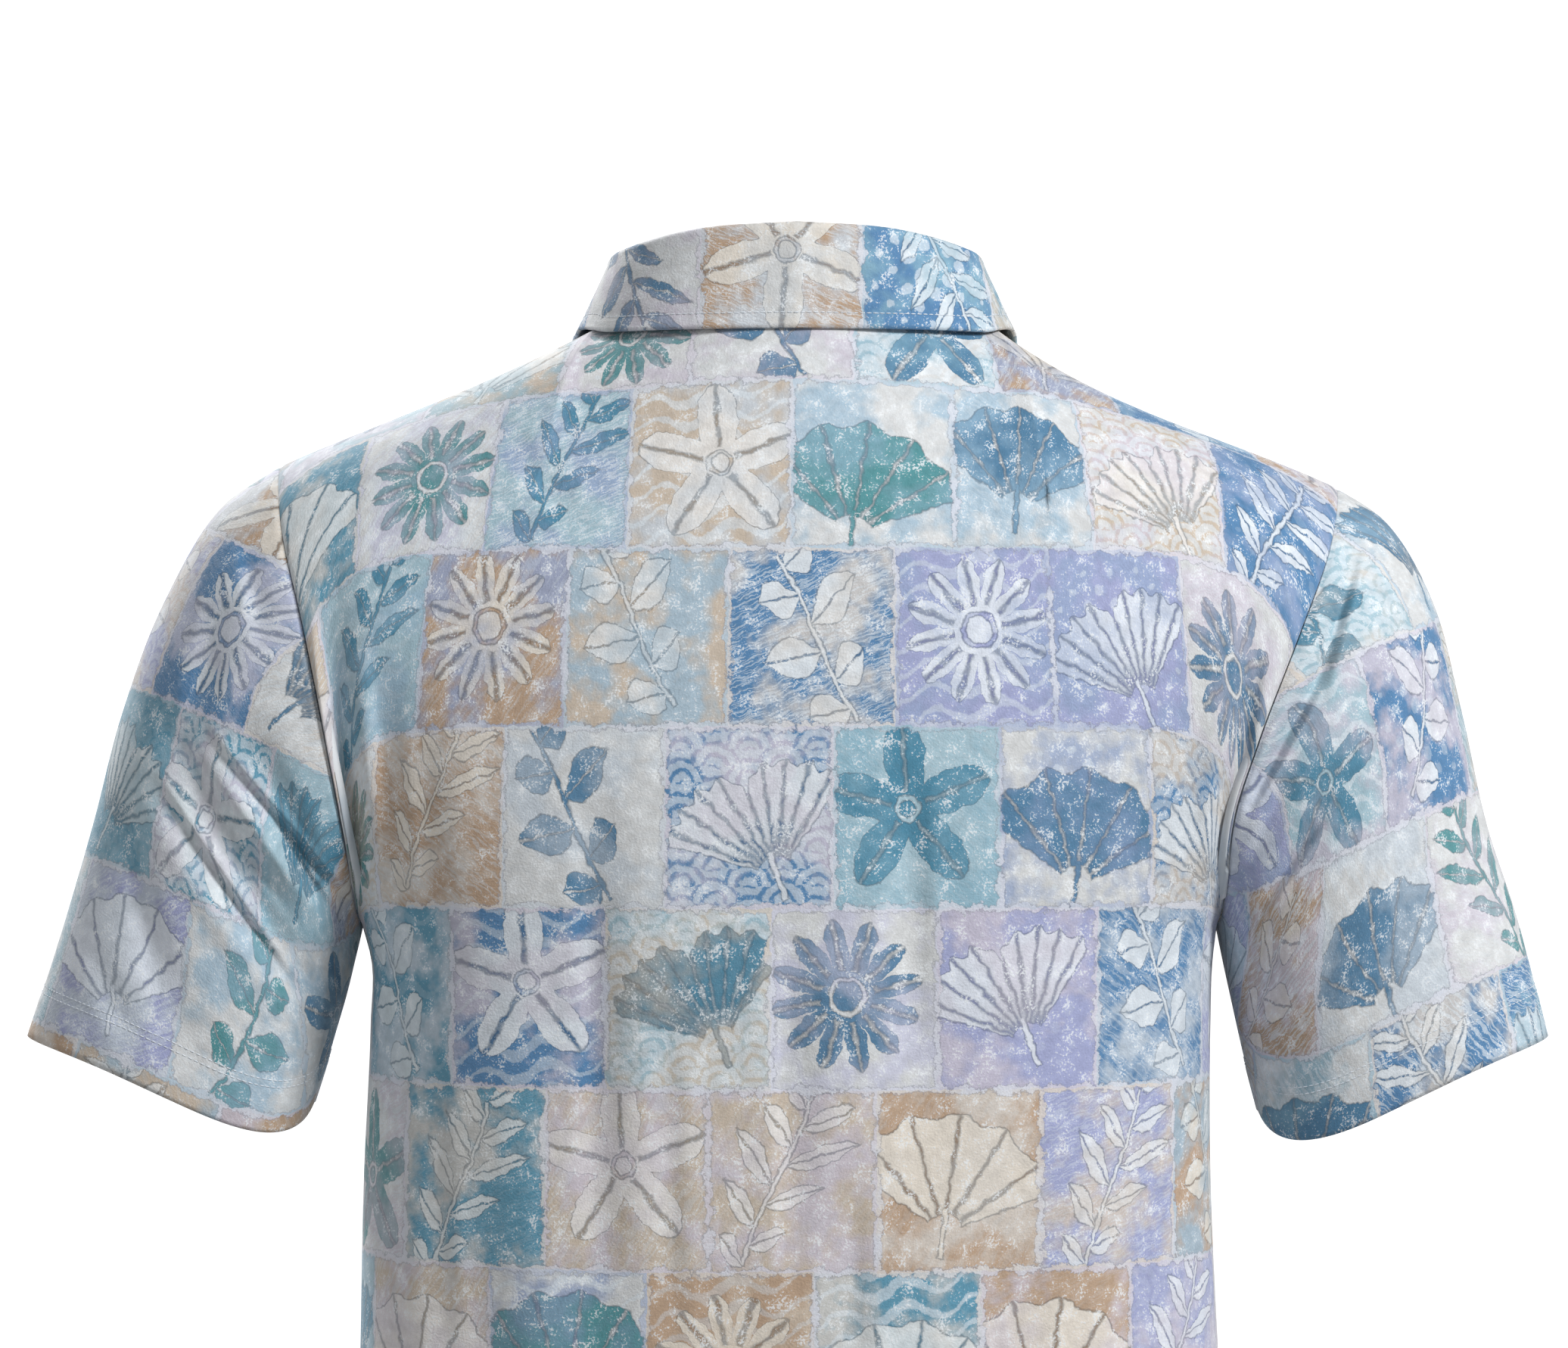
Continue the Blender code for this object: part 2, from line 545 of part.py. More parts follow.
def build():
    clear_scene()
    shirt = make_collection("polo_shirt")
    cloth = {
        name: make_material(f"{name}_jersey", [part * shade for part in PRINT_BLUE], JERSEY_ROUGHNESS)
        for name, shade in CLOTH_SHADES.items()
    }
    slit_column = len(panel_columns()) // 2
    slit_row = ROWS_BELOW + SLIT_ROWS
    add_piece(shirt, "back", open_seams(folded_panel(1), -1), -1, JERSEY, cloth["back"])
    add_piece(
        shirt, "front", open_seams(folded_panel(-1), 1), 1, JERSEY, cloth["front"],
        keep=lambda row, column: row < slit_row or column not in (slit_column - 1, slit_column),
    )
    for name, side in (("sleeve_left", 1), ("sleeve_right", -1)):
        grid = folded_sleeve(side)
        normal = closed_normals(grid, side)
        grid = grid - normal * SEAM_GAP / 2
        grid[0] += across(grid[0], normal[0], grid[1] - grid[0]) * SEAM_GAP / 2
        add_piece(shirt, name, grid, side, JERSEY, cloth[name], closed=True)
    add_piece(shirt, "collar", collar_surface(), 1, COLLAR_CLOTH, cloth["collar"])
    for name, moved_out in (("placket_over", SEAM_GAP + JERSEY), ("placket_under", -JERSEY - 2 * SEAM_GAP)):
        add_piece(shirt, name, placket_grid(moved_out), 1, JERSEY, cloth[name])
    pearl = make_material("button_plastic", PEARL, PEARL_ROUGHNESS)
    for number, z in enumerate(BUTTON_Z, 1):
        add_button(shirt, f"button_{number}", z, pearl)


build()
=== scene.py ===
# %% [markdown]
# # A printed polo shirt, filled out as if worn
#
# The shirt hangs in the air as if somebody wore it, and we look at its back. Its cut pieces are
# already there as plain solids, which this script loads. It lays a finer shell of cloth on each of
# them, with creases, seams, stitches and a printed pattern, and then lights and frames the whole.

import json
from collections import namedtuple
from inspect import signature
from math import asin, atan2, cos, pi, sin

import bpy
import numpy as np
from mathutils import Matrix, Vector

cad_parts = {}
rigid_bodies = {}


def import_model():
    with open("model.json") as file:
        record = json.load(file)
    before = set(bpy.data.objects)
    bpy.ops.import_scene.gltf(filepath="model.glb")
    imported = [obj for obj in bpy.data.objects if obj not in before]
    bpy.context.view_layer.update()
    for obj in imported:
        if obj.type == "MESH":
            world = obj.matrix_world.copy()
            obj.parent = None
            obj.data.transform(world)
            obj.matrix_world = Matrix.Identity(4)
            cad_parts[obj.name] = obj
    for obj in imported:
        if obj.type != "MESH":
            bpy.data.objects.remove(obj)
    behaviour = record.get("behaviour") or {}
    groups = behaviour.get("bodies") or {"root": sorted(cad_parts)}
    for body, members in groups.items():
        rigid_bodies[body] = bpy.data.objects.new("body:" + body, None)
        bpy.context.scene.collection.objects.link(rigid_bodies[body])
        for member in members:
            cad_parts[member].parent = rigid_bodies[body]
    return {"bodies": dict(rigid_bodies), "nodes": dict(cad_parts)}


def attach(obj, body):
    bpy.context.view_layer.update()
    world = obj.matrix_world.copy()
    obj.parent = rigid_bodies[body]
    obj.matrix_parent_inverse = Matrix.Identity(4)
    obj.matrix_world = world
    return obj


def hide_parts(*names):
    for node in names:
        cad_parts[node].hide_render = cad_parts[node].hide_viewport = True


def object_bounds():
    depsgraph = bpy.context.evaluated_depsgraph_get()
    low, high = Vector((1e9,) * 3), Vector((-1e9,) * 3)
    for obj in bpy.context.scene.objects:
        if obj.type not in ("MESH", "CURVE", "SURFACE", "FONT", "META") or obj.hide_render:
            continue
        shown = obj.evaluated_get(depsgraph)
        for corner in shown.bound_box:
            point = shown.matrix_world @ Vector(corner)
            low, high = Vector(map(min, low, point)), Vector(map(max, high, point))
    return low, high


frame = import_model()
cad_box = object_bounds()
print("solids:", sorted(frame["nodes"]))

# %% [markdown]
# ## Sizes
#
# The shells follow the same sizes as the solids. Metres, +Z up, +Y out of the wearer's back, +X to
# the wearer's left. The origin lies in the middle of the neck, at the height of the shoulders.
# Short tables give what changes along a piece, a row for each section, with lengths in millimetres.

# %% Cloth, neck and shoulders
MM = 0.001
JERSEY = 1.2 * MM  # thickness of the body and sleeve cloth
COLLAR_CLOTH = 1.6 * MM
SEAM_GAP = 0.3 * MM  # between pieces that are sewn to each other

NECK_X = -0.002  # the neck's middle
NECK_HALF = 0.086  # half its width, and how far its seam reaches behind and in front
NECK_BACK = 0.062
NECK_FRONT = 0.083
NECK_SIDE_Z = 0.002  # the seam's heights
NECK_BACK_Z = 0.003
NECK_FRONT_Z = -0.080
NECK_DIP = 2.0  # above 1 the front of the neck is scooped and not slanted
NECK_SHARE = 0.4377  # the neck seam's share of a panel's top edge; the shoulder seams have the rest
SLIT_HALF = 0.0152  # half the slit that the placket closes, and the same as a share of the top edge
SLIT_SHARE = 2 / pi * asin(SLIT_HALF / NECK_HALF) * NECK_SHARE
SLIT_RISE = 2 / 13  # the slit's foot, as a share of the way from the underarm up to the neck

SIDES = {1: "left", -1: "right"}  # the wearer's
SHOULDER_Z = {1: -0.063, -1: -0.073}
SHOULDER_X = {1: 0.236, -1: 0.2516}
SHOULDER_SAG = {1: 0.0025, -1: 0.0066}
SAG_PEAK = 27 / 4  # makes the sag's curve 1 at its highest
UNDERARM_Z = -0.274
ARMHOLE_BACK = 0.080
ARMHOLE_FRONT = 0.060
FRONT_TUCK = 0.008  # the front is cut further in at its armholes
SIDE_PULL = (3, 2, 4)  # how late x, y and z of a panel bend towards its armhole
HEM_Z = -0.740
BODY_SQUARE = 2.4  # 2 would make the body's rings ellipses
HEM_DIP = 0.0080  # how far a sleeve's hem sags behind, its share in front, and how soft its corner is
FRONT_DIP = 0.5
HEM_SOFTNESS = 0.05
print("share of the top edge that the slit takes:", round(SLIT_SHARE, 3))

# %% Tables of the armholes and the body's rings
PLAIN = ("rise", "along", "turn", "lean")  # columns of shares and degrees; all others are in mm


def table(columns, rows):
    """Rows with named columns and their lengths in metres. A last value that a row leaves out is 0."""
    Row = namedtuple("Row", columns, defaults=(0,))
    units = [1 if column in PLAIN else MM for column in Row._fields]
    return [Row(*(value * unit for value, unit in zip(row, units))) for row in rows]


ARMHOLE = table(
    "rise left right",
    [
        (0.00, 198.0, 196.0),
        (0.11, 199.5, 196.8),
        (0.25, 203.5, 199.0),
        (0.42, 209.5, 209.0),
        (0.67, 220.5, 228.5),
        (0.85, 230.5, 243.0),
        (1.00, 236.0, 251.6),
    ],
)
BODY = table(
    "z left right back front",
    [
        (-740, 204, 205, 117, 121),
        (-600, 202, 202, 116, 126),
        (-480, 199, 197, 117, 132),
        (-387, 197, 193, 119, 136),
        (-320, 194, 193, 120, 138),
        (-290, 193.7, 194, 121, 138),
        (-274, 198, 196, 121, 137),
    ],
)
print("rows for the armholes and the body:", len(ARMHOLE) + len(BODY))

# %% Tables of the sleeves' and the collar's sections
SLEEVE = {
    1: [
        (0.00, 236.0, -63.0, 198.0, -274.0, 80, 60),
        (0.12, 262.0, -81.0, 199.5, -281.0, 79, 62),
        (0.30, 289.0, -124.5, 202.0, -291.5, 74, 66),
        (0.50, 309.0, -177.0, 206.0, -308.0, 68, 67),
        (0.70, 323.0, -230.0, 211.0, -325.0, 63, 66),
        (0.85, 336.5, -276.0, 215.5, -340.5, 60, 64),
        (1.00, 352.5, -325.5, 220.5, -356.0, 56, 62),
    ],
    -1: [
        (0.00, 251.6, -73.0, 196.0, -274.0, 80, 60),
        (0.12, 273.0, -87.5, 197.2, -280.0, 79, 62),
        (0.30, 295.5, -124.5, 199.8, -293.0, 74, 66),
        (0.50, 309.5, -177.0, 203.5, -310.0, 68, 67),
        (0.70, 321.5, -230.0, 207.5, -328.0, 63, 66),
        (0.85, 335.5, -273.0, 211.0, -343.0, 60, 64),
        (1.00, 349.0, -325.5, 215.5, -360.0, 56, 62),
    ],
}
SLEEVE = {side: table("along outer_x outer_z inner_x inner_z back front", SLEEVE[side]) for side in SIDES}
COLLAR = table(
    "turn fold_x fold_y fold_z edge_x edge_y edge_z",
    [
        (0, 0.0, 57, 45.0, 0.0, 68.7, -3.5),
        (30, 40.0, 49, 42.8, 48.4, 61.2, -3.5),
        (60, 70.0, 27, 37.0, 85.2, 37.1, -3.0),
        (90, 80.5, -3, 31.0, 102.0, -4.0, -1.0),
        (120, 71.0, -43, 12.0, 99.0, -58.5, -24.0),
        (150, 42.0, -75, -38.0, 78.0, -89.0, -71.2),
        (180, 2.0, -86, -64.0, 43.5, -109.5, -110.5),
    ],
)
print("rows for the sleeves and the collar:", sum(map(len, (*SLEEVE.values(), COLLAR))))

# %% [markdown]
# ## Folds and creases
#
# Worn jersey hangs in a few broad folds and many small creases. Each row below is one of them, as
# seen from the back or the front: where it starts and ends, how wide it is and how deep. The broad
# ones are those of the solids. A crease is narrower, and steeper on one side where its lean isn't 0.

# %% Table of the broad folds
FOLDS = {
    "back": [
        (209, -105, 190, -300, 14, 5.5),
        (176, -140, 172, -330, 18, 3.0),
        (-214, -120, -188, -290, 15, 3.5),
        (94, -180, 90, -560, 30, 3.5),
        (-56, -200, -60, -420, 26, 2.5),
        (140, -330, 136, -860, 26, 6.0),
        (20, -420, 30, -900, 34, 5.5),
        (-100, -360, -92, -860, 30, 6.0),
        (-158, -300, -160, -700, 22, 3.5),
    ],
    "front": [
        (198, -130, 178, -330, 15, 5.0),
        (-202, -120, -176, -340, 16, 4.5),
        (110, -260, 118, -860, 32, 6.0),
        (48, -430, 40, -900, 28, 4.5),
        (-46, -380, -52, -880, 34, 6.0),
        (-128, -300, -124, -820, 26, 5.0),
    ],
    "left back": [
        (288, -170, 206, -322, 13, 6.0),
        (246, -180, 196, -286, 13, 4.5),
        (318, -230, 262, -350, 18, 3.0),
    ],
    "left front": [
        (280, -150, 206, -320, 15, 5.5),
        (312, -210, 250, -360, 18, 3.0),
    ],
    "right back": [
        (-258, -95, -204, -222, 13, 5.5),
        (-250, -200, -200, -290, 13, 4.5),
        (-300, -250, -262, -360, 18, 2.5),
    ],
    "right front": [
        (-276, -140, -204, -300, 15, 5.5),
        (-308, -220, -244, -350, 18, 3.0),
    ],
}
print("broad folds:", sum(map(len, FOLDS.values())))

# %% Table of the creases, and both tables in metres
CREASES = {
    "back": [
        (211.5, -130, 194.5, -274, 5.4, 5.6, 0.6),
        (185, -146, 179, -266, 8.0, 3.6, 0.3),
        (164, -180, 158, -300, 10.5, 2.0, 0.3),
        (-209, -150, -193, -270, 5.8, 4.0, -0.6),
        (-182, -176, -174, -290, 9.0, 2.4, -0.3),
        (130, -52, 95, -94, 8.0, 1.6, 0.2),
        (-128, -58, -102, -98, 8.0, 1.5, -0.2),
        (90, -190, 86, -430, 12.5, 2.6, 0.3),
        (56, -300, 52, -470, 10.5, 1.8, -0.3),
        (4, -262, -2, -440, 11.5, 2.8, 0.3),
        (-52.5, -196, -55, -340, 10.5, 2.6, -0.3),
        (-24, -360, -30, -560, 12.5, 2.2, -0.3),
        (-128, -420, -122, -640, 11.5, 2.8, 0.3),
        (161, -320, 156, -480, 9.5, 2.8, -0.2),
        (164, -500, 160, -710, 10.5, 2.4, -0.2),
        (84, -560, 90, -780, 11.5, 2.6, 0.2),
    ],
    "front": [
        (198, -150, 179, -270, 6.0, 4.6, 0.5),
        (-197, -150, -177, -280, 6.0, 4.2, -0.5),
        (166, -165, 156, -290, 8.0, 2.8, 0.3),
        (-164, -185, -156, -300, 8.0, 3.0, -0.3),
        (84, -300, 90, -500, 11.5, 2.8, 0.3),
        (-86, -280, -90, -470, 11.5, 2.8, -0.3),
        (6, -420, 2, -600, 12.5, 2.4, 0.2),
        (-50, -250, -44, -360, 11.0, 2.0, 0.3),
        (148, -480, 146, -700, 11.5, 2.6, -0.2),
    ],
    "left back": [
        (290, -204, 221, -307, 5.8, 5.6, -0.4),
        (266, -182, 197, -268, 5.2, 5.0, -0.4),
        (234, -226, 203.5, -273, 4.0, 3.6, -0.3),
        (261, -213, 217, -277, 7.0, 2.6, 0.3),
        (258, -122, 272, -188, 10.0, 3.2, 0.2),
        (308, -214, 284, -302, 10.5, 2.8, 0.2),
        (324, -270, 296, -332, 9.0, 2.0, 0.2),
        (248, -96, 236, -148, 7.0, 2.0, 0.3),
    ],
    "left front": [
        (274, -186, 212, -298, 6.0, 5.0, 0.4),
        (246, -180, 199, -266, 5.2, 4.2, -0.3),
        (296, -220, 256, -320, 9.0, 2.8, 0.2),
        (260, -116, 264, -180, 10.0, 2.6, 0.3),
    ],
    "right back": [
        (-257, -100, -235, -172, 5.0, 5.0, -0.5),
        (-242, -152, -203, -222, 4.6, 5.6, -0.5),
        (-245, -214, -200, -283, 4.4, 4.0, -0.4),
        (-224, -206, -199, -262, 7.5, 2.8, 0.3),
        (-270, -150, -244, -226, 8.5, 2.6, 0.3),
        (-292, -225, -256, -318, 10.0, 2.6, -0.2),
        (-312, -268, -284, -335, 9.5, 2.0, -0.2),
    ],
    "right front": [
        (-266, -150, -208, -284, 6.0, 4.8, -0.4),
        (-240, -190, -199, -262, 5.2, 4.0, 0.3),
        (-292, -220, -254, -330, 9.0, 2.8, -0.2),
        (-264, -112, -260, -180, 10.0, 2.6, 0.3),
    ],
}
for shown in (FOLDS, CREASES):
    for place, rows in shown.items():
        shown[place] = table("x0 z0 x1 z1 width depth lean", rows)
print("creases:", sum(map(len, CREASES.values())))

# %% [markdown]
# ## The surfaces
#
# A loft is a surface drawn through sections. Modelling tools can skin one by hand, but a formula
# keeps the seams of neighbouring pieces on exactly the same line, which cut cloth needs. Each
# function below gives points for any place on its piece, so a fine grid and a coarse one agree.


# %% Reading the tables
def lookup(rows, name, at):
    """A table's named column at any value of its first one, as a smooth curve through the rows."""
    places = np.array([row[0] for row in rows])
    values = np.array([getattr(row, name) for row in rows])
    slopes = np.gradient(values, places)
    at = np.clip(at, places[0], places[-1])
    row = np.clip(np.searchsorted(places, at) - 1, 0, len(rows) - 2)
    step = places[row + 1] - places[row]
    t = (at - places[row]) / step
    ends = values[row] * (1 + 2 * t) * (1 - t) ** 2 + values[row + 1] * (3 - 2 * t) * t**2
    return ends + step * t * (1 - t) * (slopes[row] * (1 - t) - slopes[row + 1] * t)


def by_side(u, values):
    return np.where(u >= 0, values[1], values[-1])


def points(x, y, z):
    return np.stack(np.broadcast_arrays(x, y, z), axis=-1)


print("half chest, mm:", round(1000 * float(lookup(BODY, "left", -0.3)), 1))


# %% The seams of the neck, the shoulders and the armholes
def neck_seam(turn, side):
    """The neck seam, from the middle of the back (0) to the middle of the front (pi)."""
    level = np.cos(turn)
    reach = np.where(level > 0, NECK_BACK, NECK_FRONT)
    back_drop = (NECK_BACK_Z - NECK_SIDE_Z) * np.maximum(level, 0)
    front_drop = (NECK_FRONT_Z - NECK_SIDE_Z) * np.maximum(-level, 0) ** NECK_DIP
    x = NECK_X + side * NECK_HALF * np.sin(turn)
    return points(x, reach * level, NECK_SIDE_Z + back_drop + front_drop)


def top_edge(face, u):
    """The neck seam and both shoulder seams; face is 1 for the back and -1 for the front."""
    side = np.where(u >= 0, 1, -1)
    turn = pi / 2 * np.minimum(abs(u) / NECK_SHARE, 1)
    along = np.clip((abs(u) - NECK_SHARE) / (1 - NECK_SHARE), 0, 1)
    neck = neck_seam(np.where(face > 0, turn, pi - turn), side)
    sag = by_side(u, SHOULDER_SAG) * along * (1 - along) ** 2 * SAG_PEAK
    x = neck[..., 0] + (side * by_side(u, SHOULDER_X) - neck[..., 0]) * along
    z = neck[..., 2] + (by_side(u, SHOULDER_Z) - neck[..., 2]) * along - sag
    return points(x, neck[..., 1], z)


def armhole_seam(side, turn):
    """The armhole, from the underarm (0) up the back to the shoulder point (pi) and down the front."""
    rise = (1 - np.cos(turn)) / 2
    out = np.sin(turn)
    z = UNDERARM_Z + (SHOULDER_Z[side] - UNDERARM_Z) * rise
    reach = lookup(ARMHOLE, SIDES[side], rise) - FRONT_TUCK * np.maximum(-out, 0) ** 3
    return points(side * reach, np.where(out > 0, ARMHOLE_BACK, ARMHOLE_FRONT) * out, z)


neck_ends = neck_seam(np.array([0, pi]), 1)
print("neck, mm from back to front:", round(1000 * float(np.ptp(neck_ends[:, 1]))))


# %% The body's panels
def body_ring(face, u, z):
    """Half a ring of the body, from one side seam to the other."""
    across = np.sin(pi / 2 * u)
    half = np.where(u >= 0, lookup(BODY, "left", z), lookup(BODY, "right", z))
    depth = lookup(BODY, "back" if face > 0 else "front", z)
    bulge = np.maximum(1 - abs(across) ** BODY_SQUARE, 0) ** (1 / BODY_SQUARE)
    return points(half * across, face * depth * bulge, z)


def panel_surface(face, u, rise):
    """Back or front: rise runs from -1 at the hem by 0 at the underarm to 1 at the neck and shoulders."""
    u, rise = np.meshgrid(u, rise)
    low = body_ring(face, u, UNDERARM_Z + (HEM_Z - UNDERARM_Z) * np.maximum(-rise, 0))
    top = top_edge(face, u)
    up = np.maximum(rise, 0)
    lift = np.arccos(np.clip(top[..., 1] / np.where(low[..., 1] == 0, face, low[..., 1]), 0, 1))
    height = np.sin(lift * up) / np.sin(lift)
    reach = (np.cos(lift * up) - np.cos(lift)) / (1 - np.cos(lift))
    x = top[..., 0] + (low[..., 0] - top[..., 0]) * reach
    y = low[..., 1] * np.cos(lift * up)
    z = low[..., 2] + (top[..., 2] - low[..., 2]) * height
    surface = points(x, np.where(rise > 0, y, low[..., 1]), z)
    turn = pi * up if face > 0 else 2 * pi - pi * up
    for side in SIDES:
        seam = armhole_seam(side, turn)
        edge = surface[:, -1 if side > 0 else 0][:, None, :]
        pull = np.where(side * u > 0, abs(u), 0)[..., None] ** np.array(SIDE_PULL)
        surface = surface + np.where(up[..., None] > 0, pull * (seam - edge), 0)
    return surface


print("depth of the back at the chest, mm:", round(1000 * float(body_ring(1, 0.0, -0.3)[1])))


# %% The sleeves
def sleeve_surface(side, turn, along):
    """A sleeve: turn runs round it from the underarm, up the back, along from armhole to hem."""
    turn, along = np.meshgrid(turn, along)
    rows = SLEEVE[side]
    outer_x, outer_z, inner_x, inner_z = (lookup(rows, name, along) for name in rows[0]._fields[1:5])
    level, out = np.cos(turn), np.sin(turn)
    seam = armhole_seam(side, turn)
    straight = (rows[0].outer_x + rows[0].inner_x) / 2 - (rows[0].outer_x - rows[0].inner_x) / 2 * level
    bow = (side * seam[..., 0] - straight) * (1 - along) ** 2
    x = (outer_x + inner_x) / 2 - (outer_x - inner_x) / 2 * level + bow
    y = np.where(out > 0, lookup(rows, "back", along), lookup(rows, "front", along)) * out
    sag = HEM_DIP * out**2 / np.sqrt(out**2 + HEM_SOFTNESS) * (1 + level) ** 2
    dip = sag * np.where(out > 0, 1, FRONT_DIP) * along**3
    z = (outer_z + inner_z) / 2 - (outer_z - inner_z) / 2 * level - dip
    return points(side * x, y, z)


print("left hem, mm across:", round(1000 * float(np.ptp(sleeve_surface(1, np.array([0, pi]), 1)[..., 0]))))

# %% [markdown]
# ## From a surface to cloth
#
# A surface becomes cloth in four steps. The folds and creases push it in along its normals. Near a
# sewn edge it dips, and its seam allowance turns inwards, so that two pieces meet in a soft valley
# and no light shows between them. A UV map holds each point's place on the flat cut piece, in
# metres, for the print. A Solidify modifier then gives the wall its thickness.

# %% Normals, distances and depths
FOLD_FADE = 0.030  # a broad fold has died away at this distance from a seam
CREASE_FADE = 0.005  # a crease runs closer to it
FOLD_RIDGE = 1.2  # how high the ridges beside a trough are
FOLD_FACING = 1.5  # how soon a fold fades where the cloth turns away from the back or the front
FOLD_ENDS = 0.8  # below 1 a fold keeps its depth for longer towards its ends


def normals(grid, out):
    """Unit normals of a grid of points, turned to the side that out (1 or -1) picks."""
    normal = np.cross(np.gradient(grid, axis=1), np.gradient(grid, axis=0)) * out
    return normal / np.maximum(np.linalg.norm(normal, axis=-1, keepdims=True), 1e-12)


def closed_normals(grid, out):
    """Normals of a grid whose first and last columns are the same line."""
    wide = np.concatenate([grid[:, -2:-1], grid, grid[:, 1:2]], axis=1)
    return normals(wide, out)[:, 1:-1]


def run_along(grid, axis):
    """Distance along a grid's lines from their first point."""
    steps = np.linalg.norm(np.diff(grid, axis=axis), axis=-1)
    start = np.zeros_like(np.take(steps, [0], axis=axis))
    return np.concatenate([start, np.cumsum(steps, axis=axis)], axis=axis)


def fade(distance, over):
    t = np.clip(distance / over, 0, 1)
    return t * t * (3 - 2 * t)


def fold_depth(folds, x, z):
    """How far in the cloth lies: a trough along each fold, with a low ridge on both sides of it."""
    total = np.zeros_like(x)
    for fold in folds:
        run = np.array([fold.x1 - fold.x0, fold.z1 - fold.z0])
        length = np.linalg.norm(run)
        t = ((x - fold.x0) * run[0] + (z - fold.z0) * run[1]) / length**2
        off = ((x - fold.x0) * run[1] - (z - fold.z0) * run[0]) / length / fold.width
        off = off / (1 + fold.lean * np.tanh(2 * off))
        ends = np.sin(pi * np.clip(t, 0, 1)) ** FOLD_ENDS
        total += fold.depth * ends * (1 - FOLD_RIDGE * off**2) * np.exp(-(off**2))
    return total


def all_folds(name, grid, facing, edges):
    """A piece's folds and creases; facing is its share of the view, and edges its distances from seams."""
    total = np.zeros(grid.shape[:2])
    for shown, over in ((FOLDS, FOLD_FADE), (CREASES, CREASE_FADE)):
        depth = fold_depth(shown[name], grid[..., 0], grid[..., 2]) * facing**FOLD_FACING
        for distance in edges:
            depth = depth * fade(distance, over)
        total += depth
    return total


print("deepest broad fold, mm:", 1000 * max(fold.depth for rows in FOLDS.values() for fold in rows))

# %% [markdown]
# ## Fine grids for the panels and sleeves
#
# A seam valley is only a millimetre or two wide, and the sharpest creases lie near the armholes. So
# the grids' lines crowd towards the sewn edges, and stand further apart in the middle.

# %% Where the fine grids' lines run
CROWDING = 1.25  # 1 is even; above it the lines crowd towards an edge
SEAM_VALLEY = 0.8 * MM  # how deep the cloth dips at a seam
SEAM_WIDTH = 1.6 * MM
ALLOWANCE = (1.0 * MM, 4.0 * MM)  # the turned-in seam allowance: its bend and its raw edge
HEM_HEIGHT = 25 * MM
HEM_STEP = 0.4 * MM  # the doubled hem stands out this much, and ends in a slope this long
HEM_SLOPE = 2 * MM
HEM_STITCHES = (21.4 * MM, 24.6 * MM)  # a twin needle's two rows, above the hem
HEM_GROOVE = 0.3 * MM
HEM_GROOVE_WIDTH = 1.1 * MM


def crowded(count):
    """Places from 0 to 1 that crowd towards 1."""
    return 1 - (1 - np.linspace(0, 1, count)) ** CROWDING


def both_ways(half):
    return np.concatenate([-half[:0:-1], half])


print("first and last steps:", np.round(np.diff(crowded(120))[[0, -1]], 5))


# %% Seam valleys, hems and allowances
def groove(distance, depth, width):
    """A soft groove along a line, from the distance to it."""
    return depth * np.exp(-((distance / width) ** 2))


def hem_depth(from_hem):
    """A hem is doubled, so it stands out a little, and its two rows of stitches pull it in again."""
    rows = sum(groove(from_hem - row, HEM_GROOVE, HEM_GROOVE_WIDTH) for row in HEM_STITCHES)
    return rows - HEM_STEP * (1 - fade(from_hem - HEM_HEIGHT + HEM_SLOPE / 2, HEM_SLOPE))


def turned_in(grid, normal, uv, axis, end):
    """The grid with its seam allowance added behind one edge (end 0 or -1) along an axis."""
    edge, edge_normal, edge_uv = (np.take(part, [end], axis=axis) for part in (grid, normal, uv))
    strips = [edge - edge_normal * depth for depth in ALLOWANCE]
    added = []
    for part, new in ((grid, strips), (normal, [edge_normal] * 2), (uv, [edge_uv] * 2)):
        added.append(np.concatenate([part, *new] if end else [*new[::-1], part], axis=axis))
    return added


print("seam allowance, mm:", 1000 * ALLOWANCE[-1])


# %% A grid of points becomes a wall of cloth
def placed(name, data):
    """A new object in the scene."""
    thing = bpy.data.objects.new(name, data)
    bpy.context.scene.collection.objects.link(thing)
    return thing


def cloth_wall(name, grid, uv, out, thickness, closed=False, opening=False):
    """A mesh through the grid, its UV map in metres, and a wall built inwards. out is as for normals,
    and opening says which of the grid's cells stay open."""
    rows, columns = grid.shape[:2]
    last = columns - 1 if closed else columns
    row, column = np.nonzero(~np.broadcast_to(opening, (rows - 1, columns - 1)))
    corners = [(row, column), (row, column + 1), (row + 1, column + 1), (row + 1, column)][::out]
    numbers = np.stack([r * last + c % last for r, c in corners], axis=1)
    used, numbers = np.unique(numbers, return_inverse=True)  # leaves out points that no face uses
    mesh = bpy.data.meshes.new(name)
    mesh.from_pydata(grid[:, :last].reshape(-1, 3)[used].tolist(), [], numbers.reshape(-1, 4).tolist())
    places = np.stack([uv[r, c] for r, c in corners], axis=1)
    mesh.uv_layers.new(name="cut").data.foreach_set("uv", places.reshape(-1))
    mesh.shade_smooth()
    piece = placed(name, mesh)
    wall = piece.modifiers.new("wall", "SOLIDIFY")
    wall.thickness = thickness
    wall.offset = -1
    wall.material_offset = 1
    wall.material_offset_rim = 0
    return piece


def finished(piece):
    """Turns a piece's modifiers into plain mesh."""
    shown = piece.evaluated_get(bpy.context.evaluated_depsgraph_get())
    mesh = bpy.data.meshes.new_from_object(shown)
    old = piece.data
    piece.modifiers.clear()
    piece.data = mesh
    bpy.data.meshes.remove(old)
    mesh.name = piece.name
    return piece


print("walls of cloth, mm:", round(1000 * JERSEY, 1), "and", round(1000 * COLLAR_CLOTH, 1))

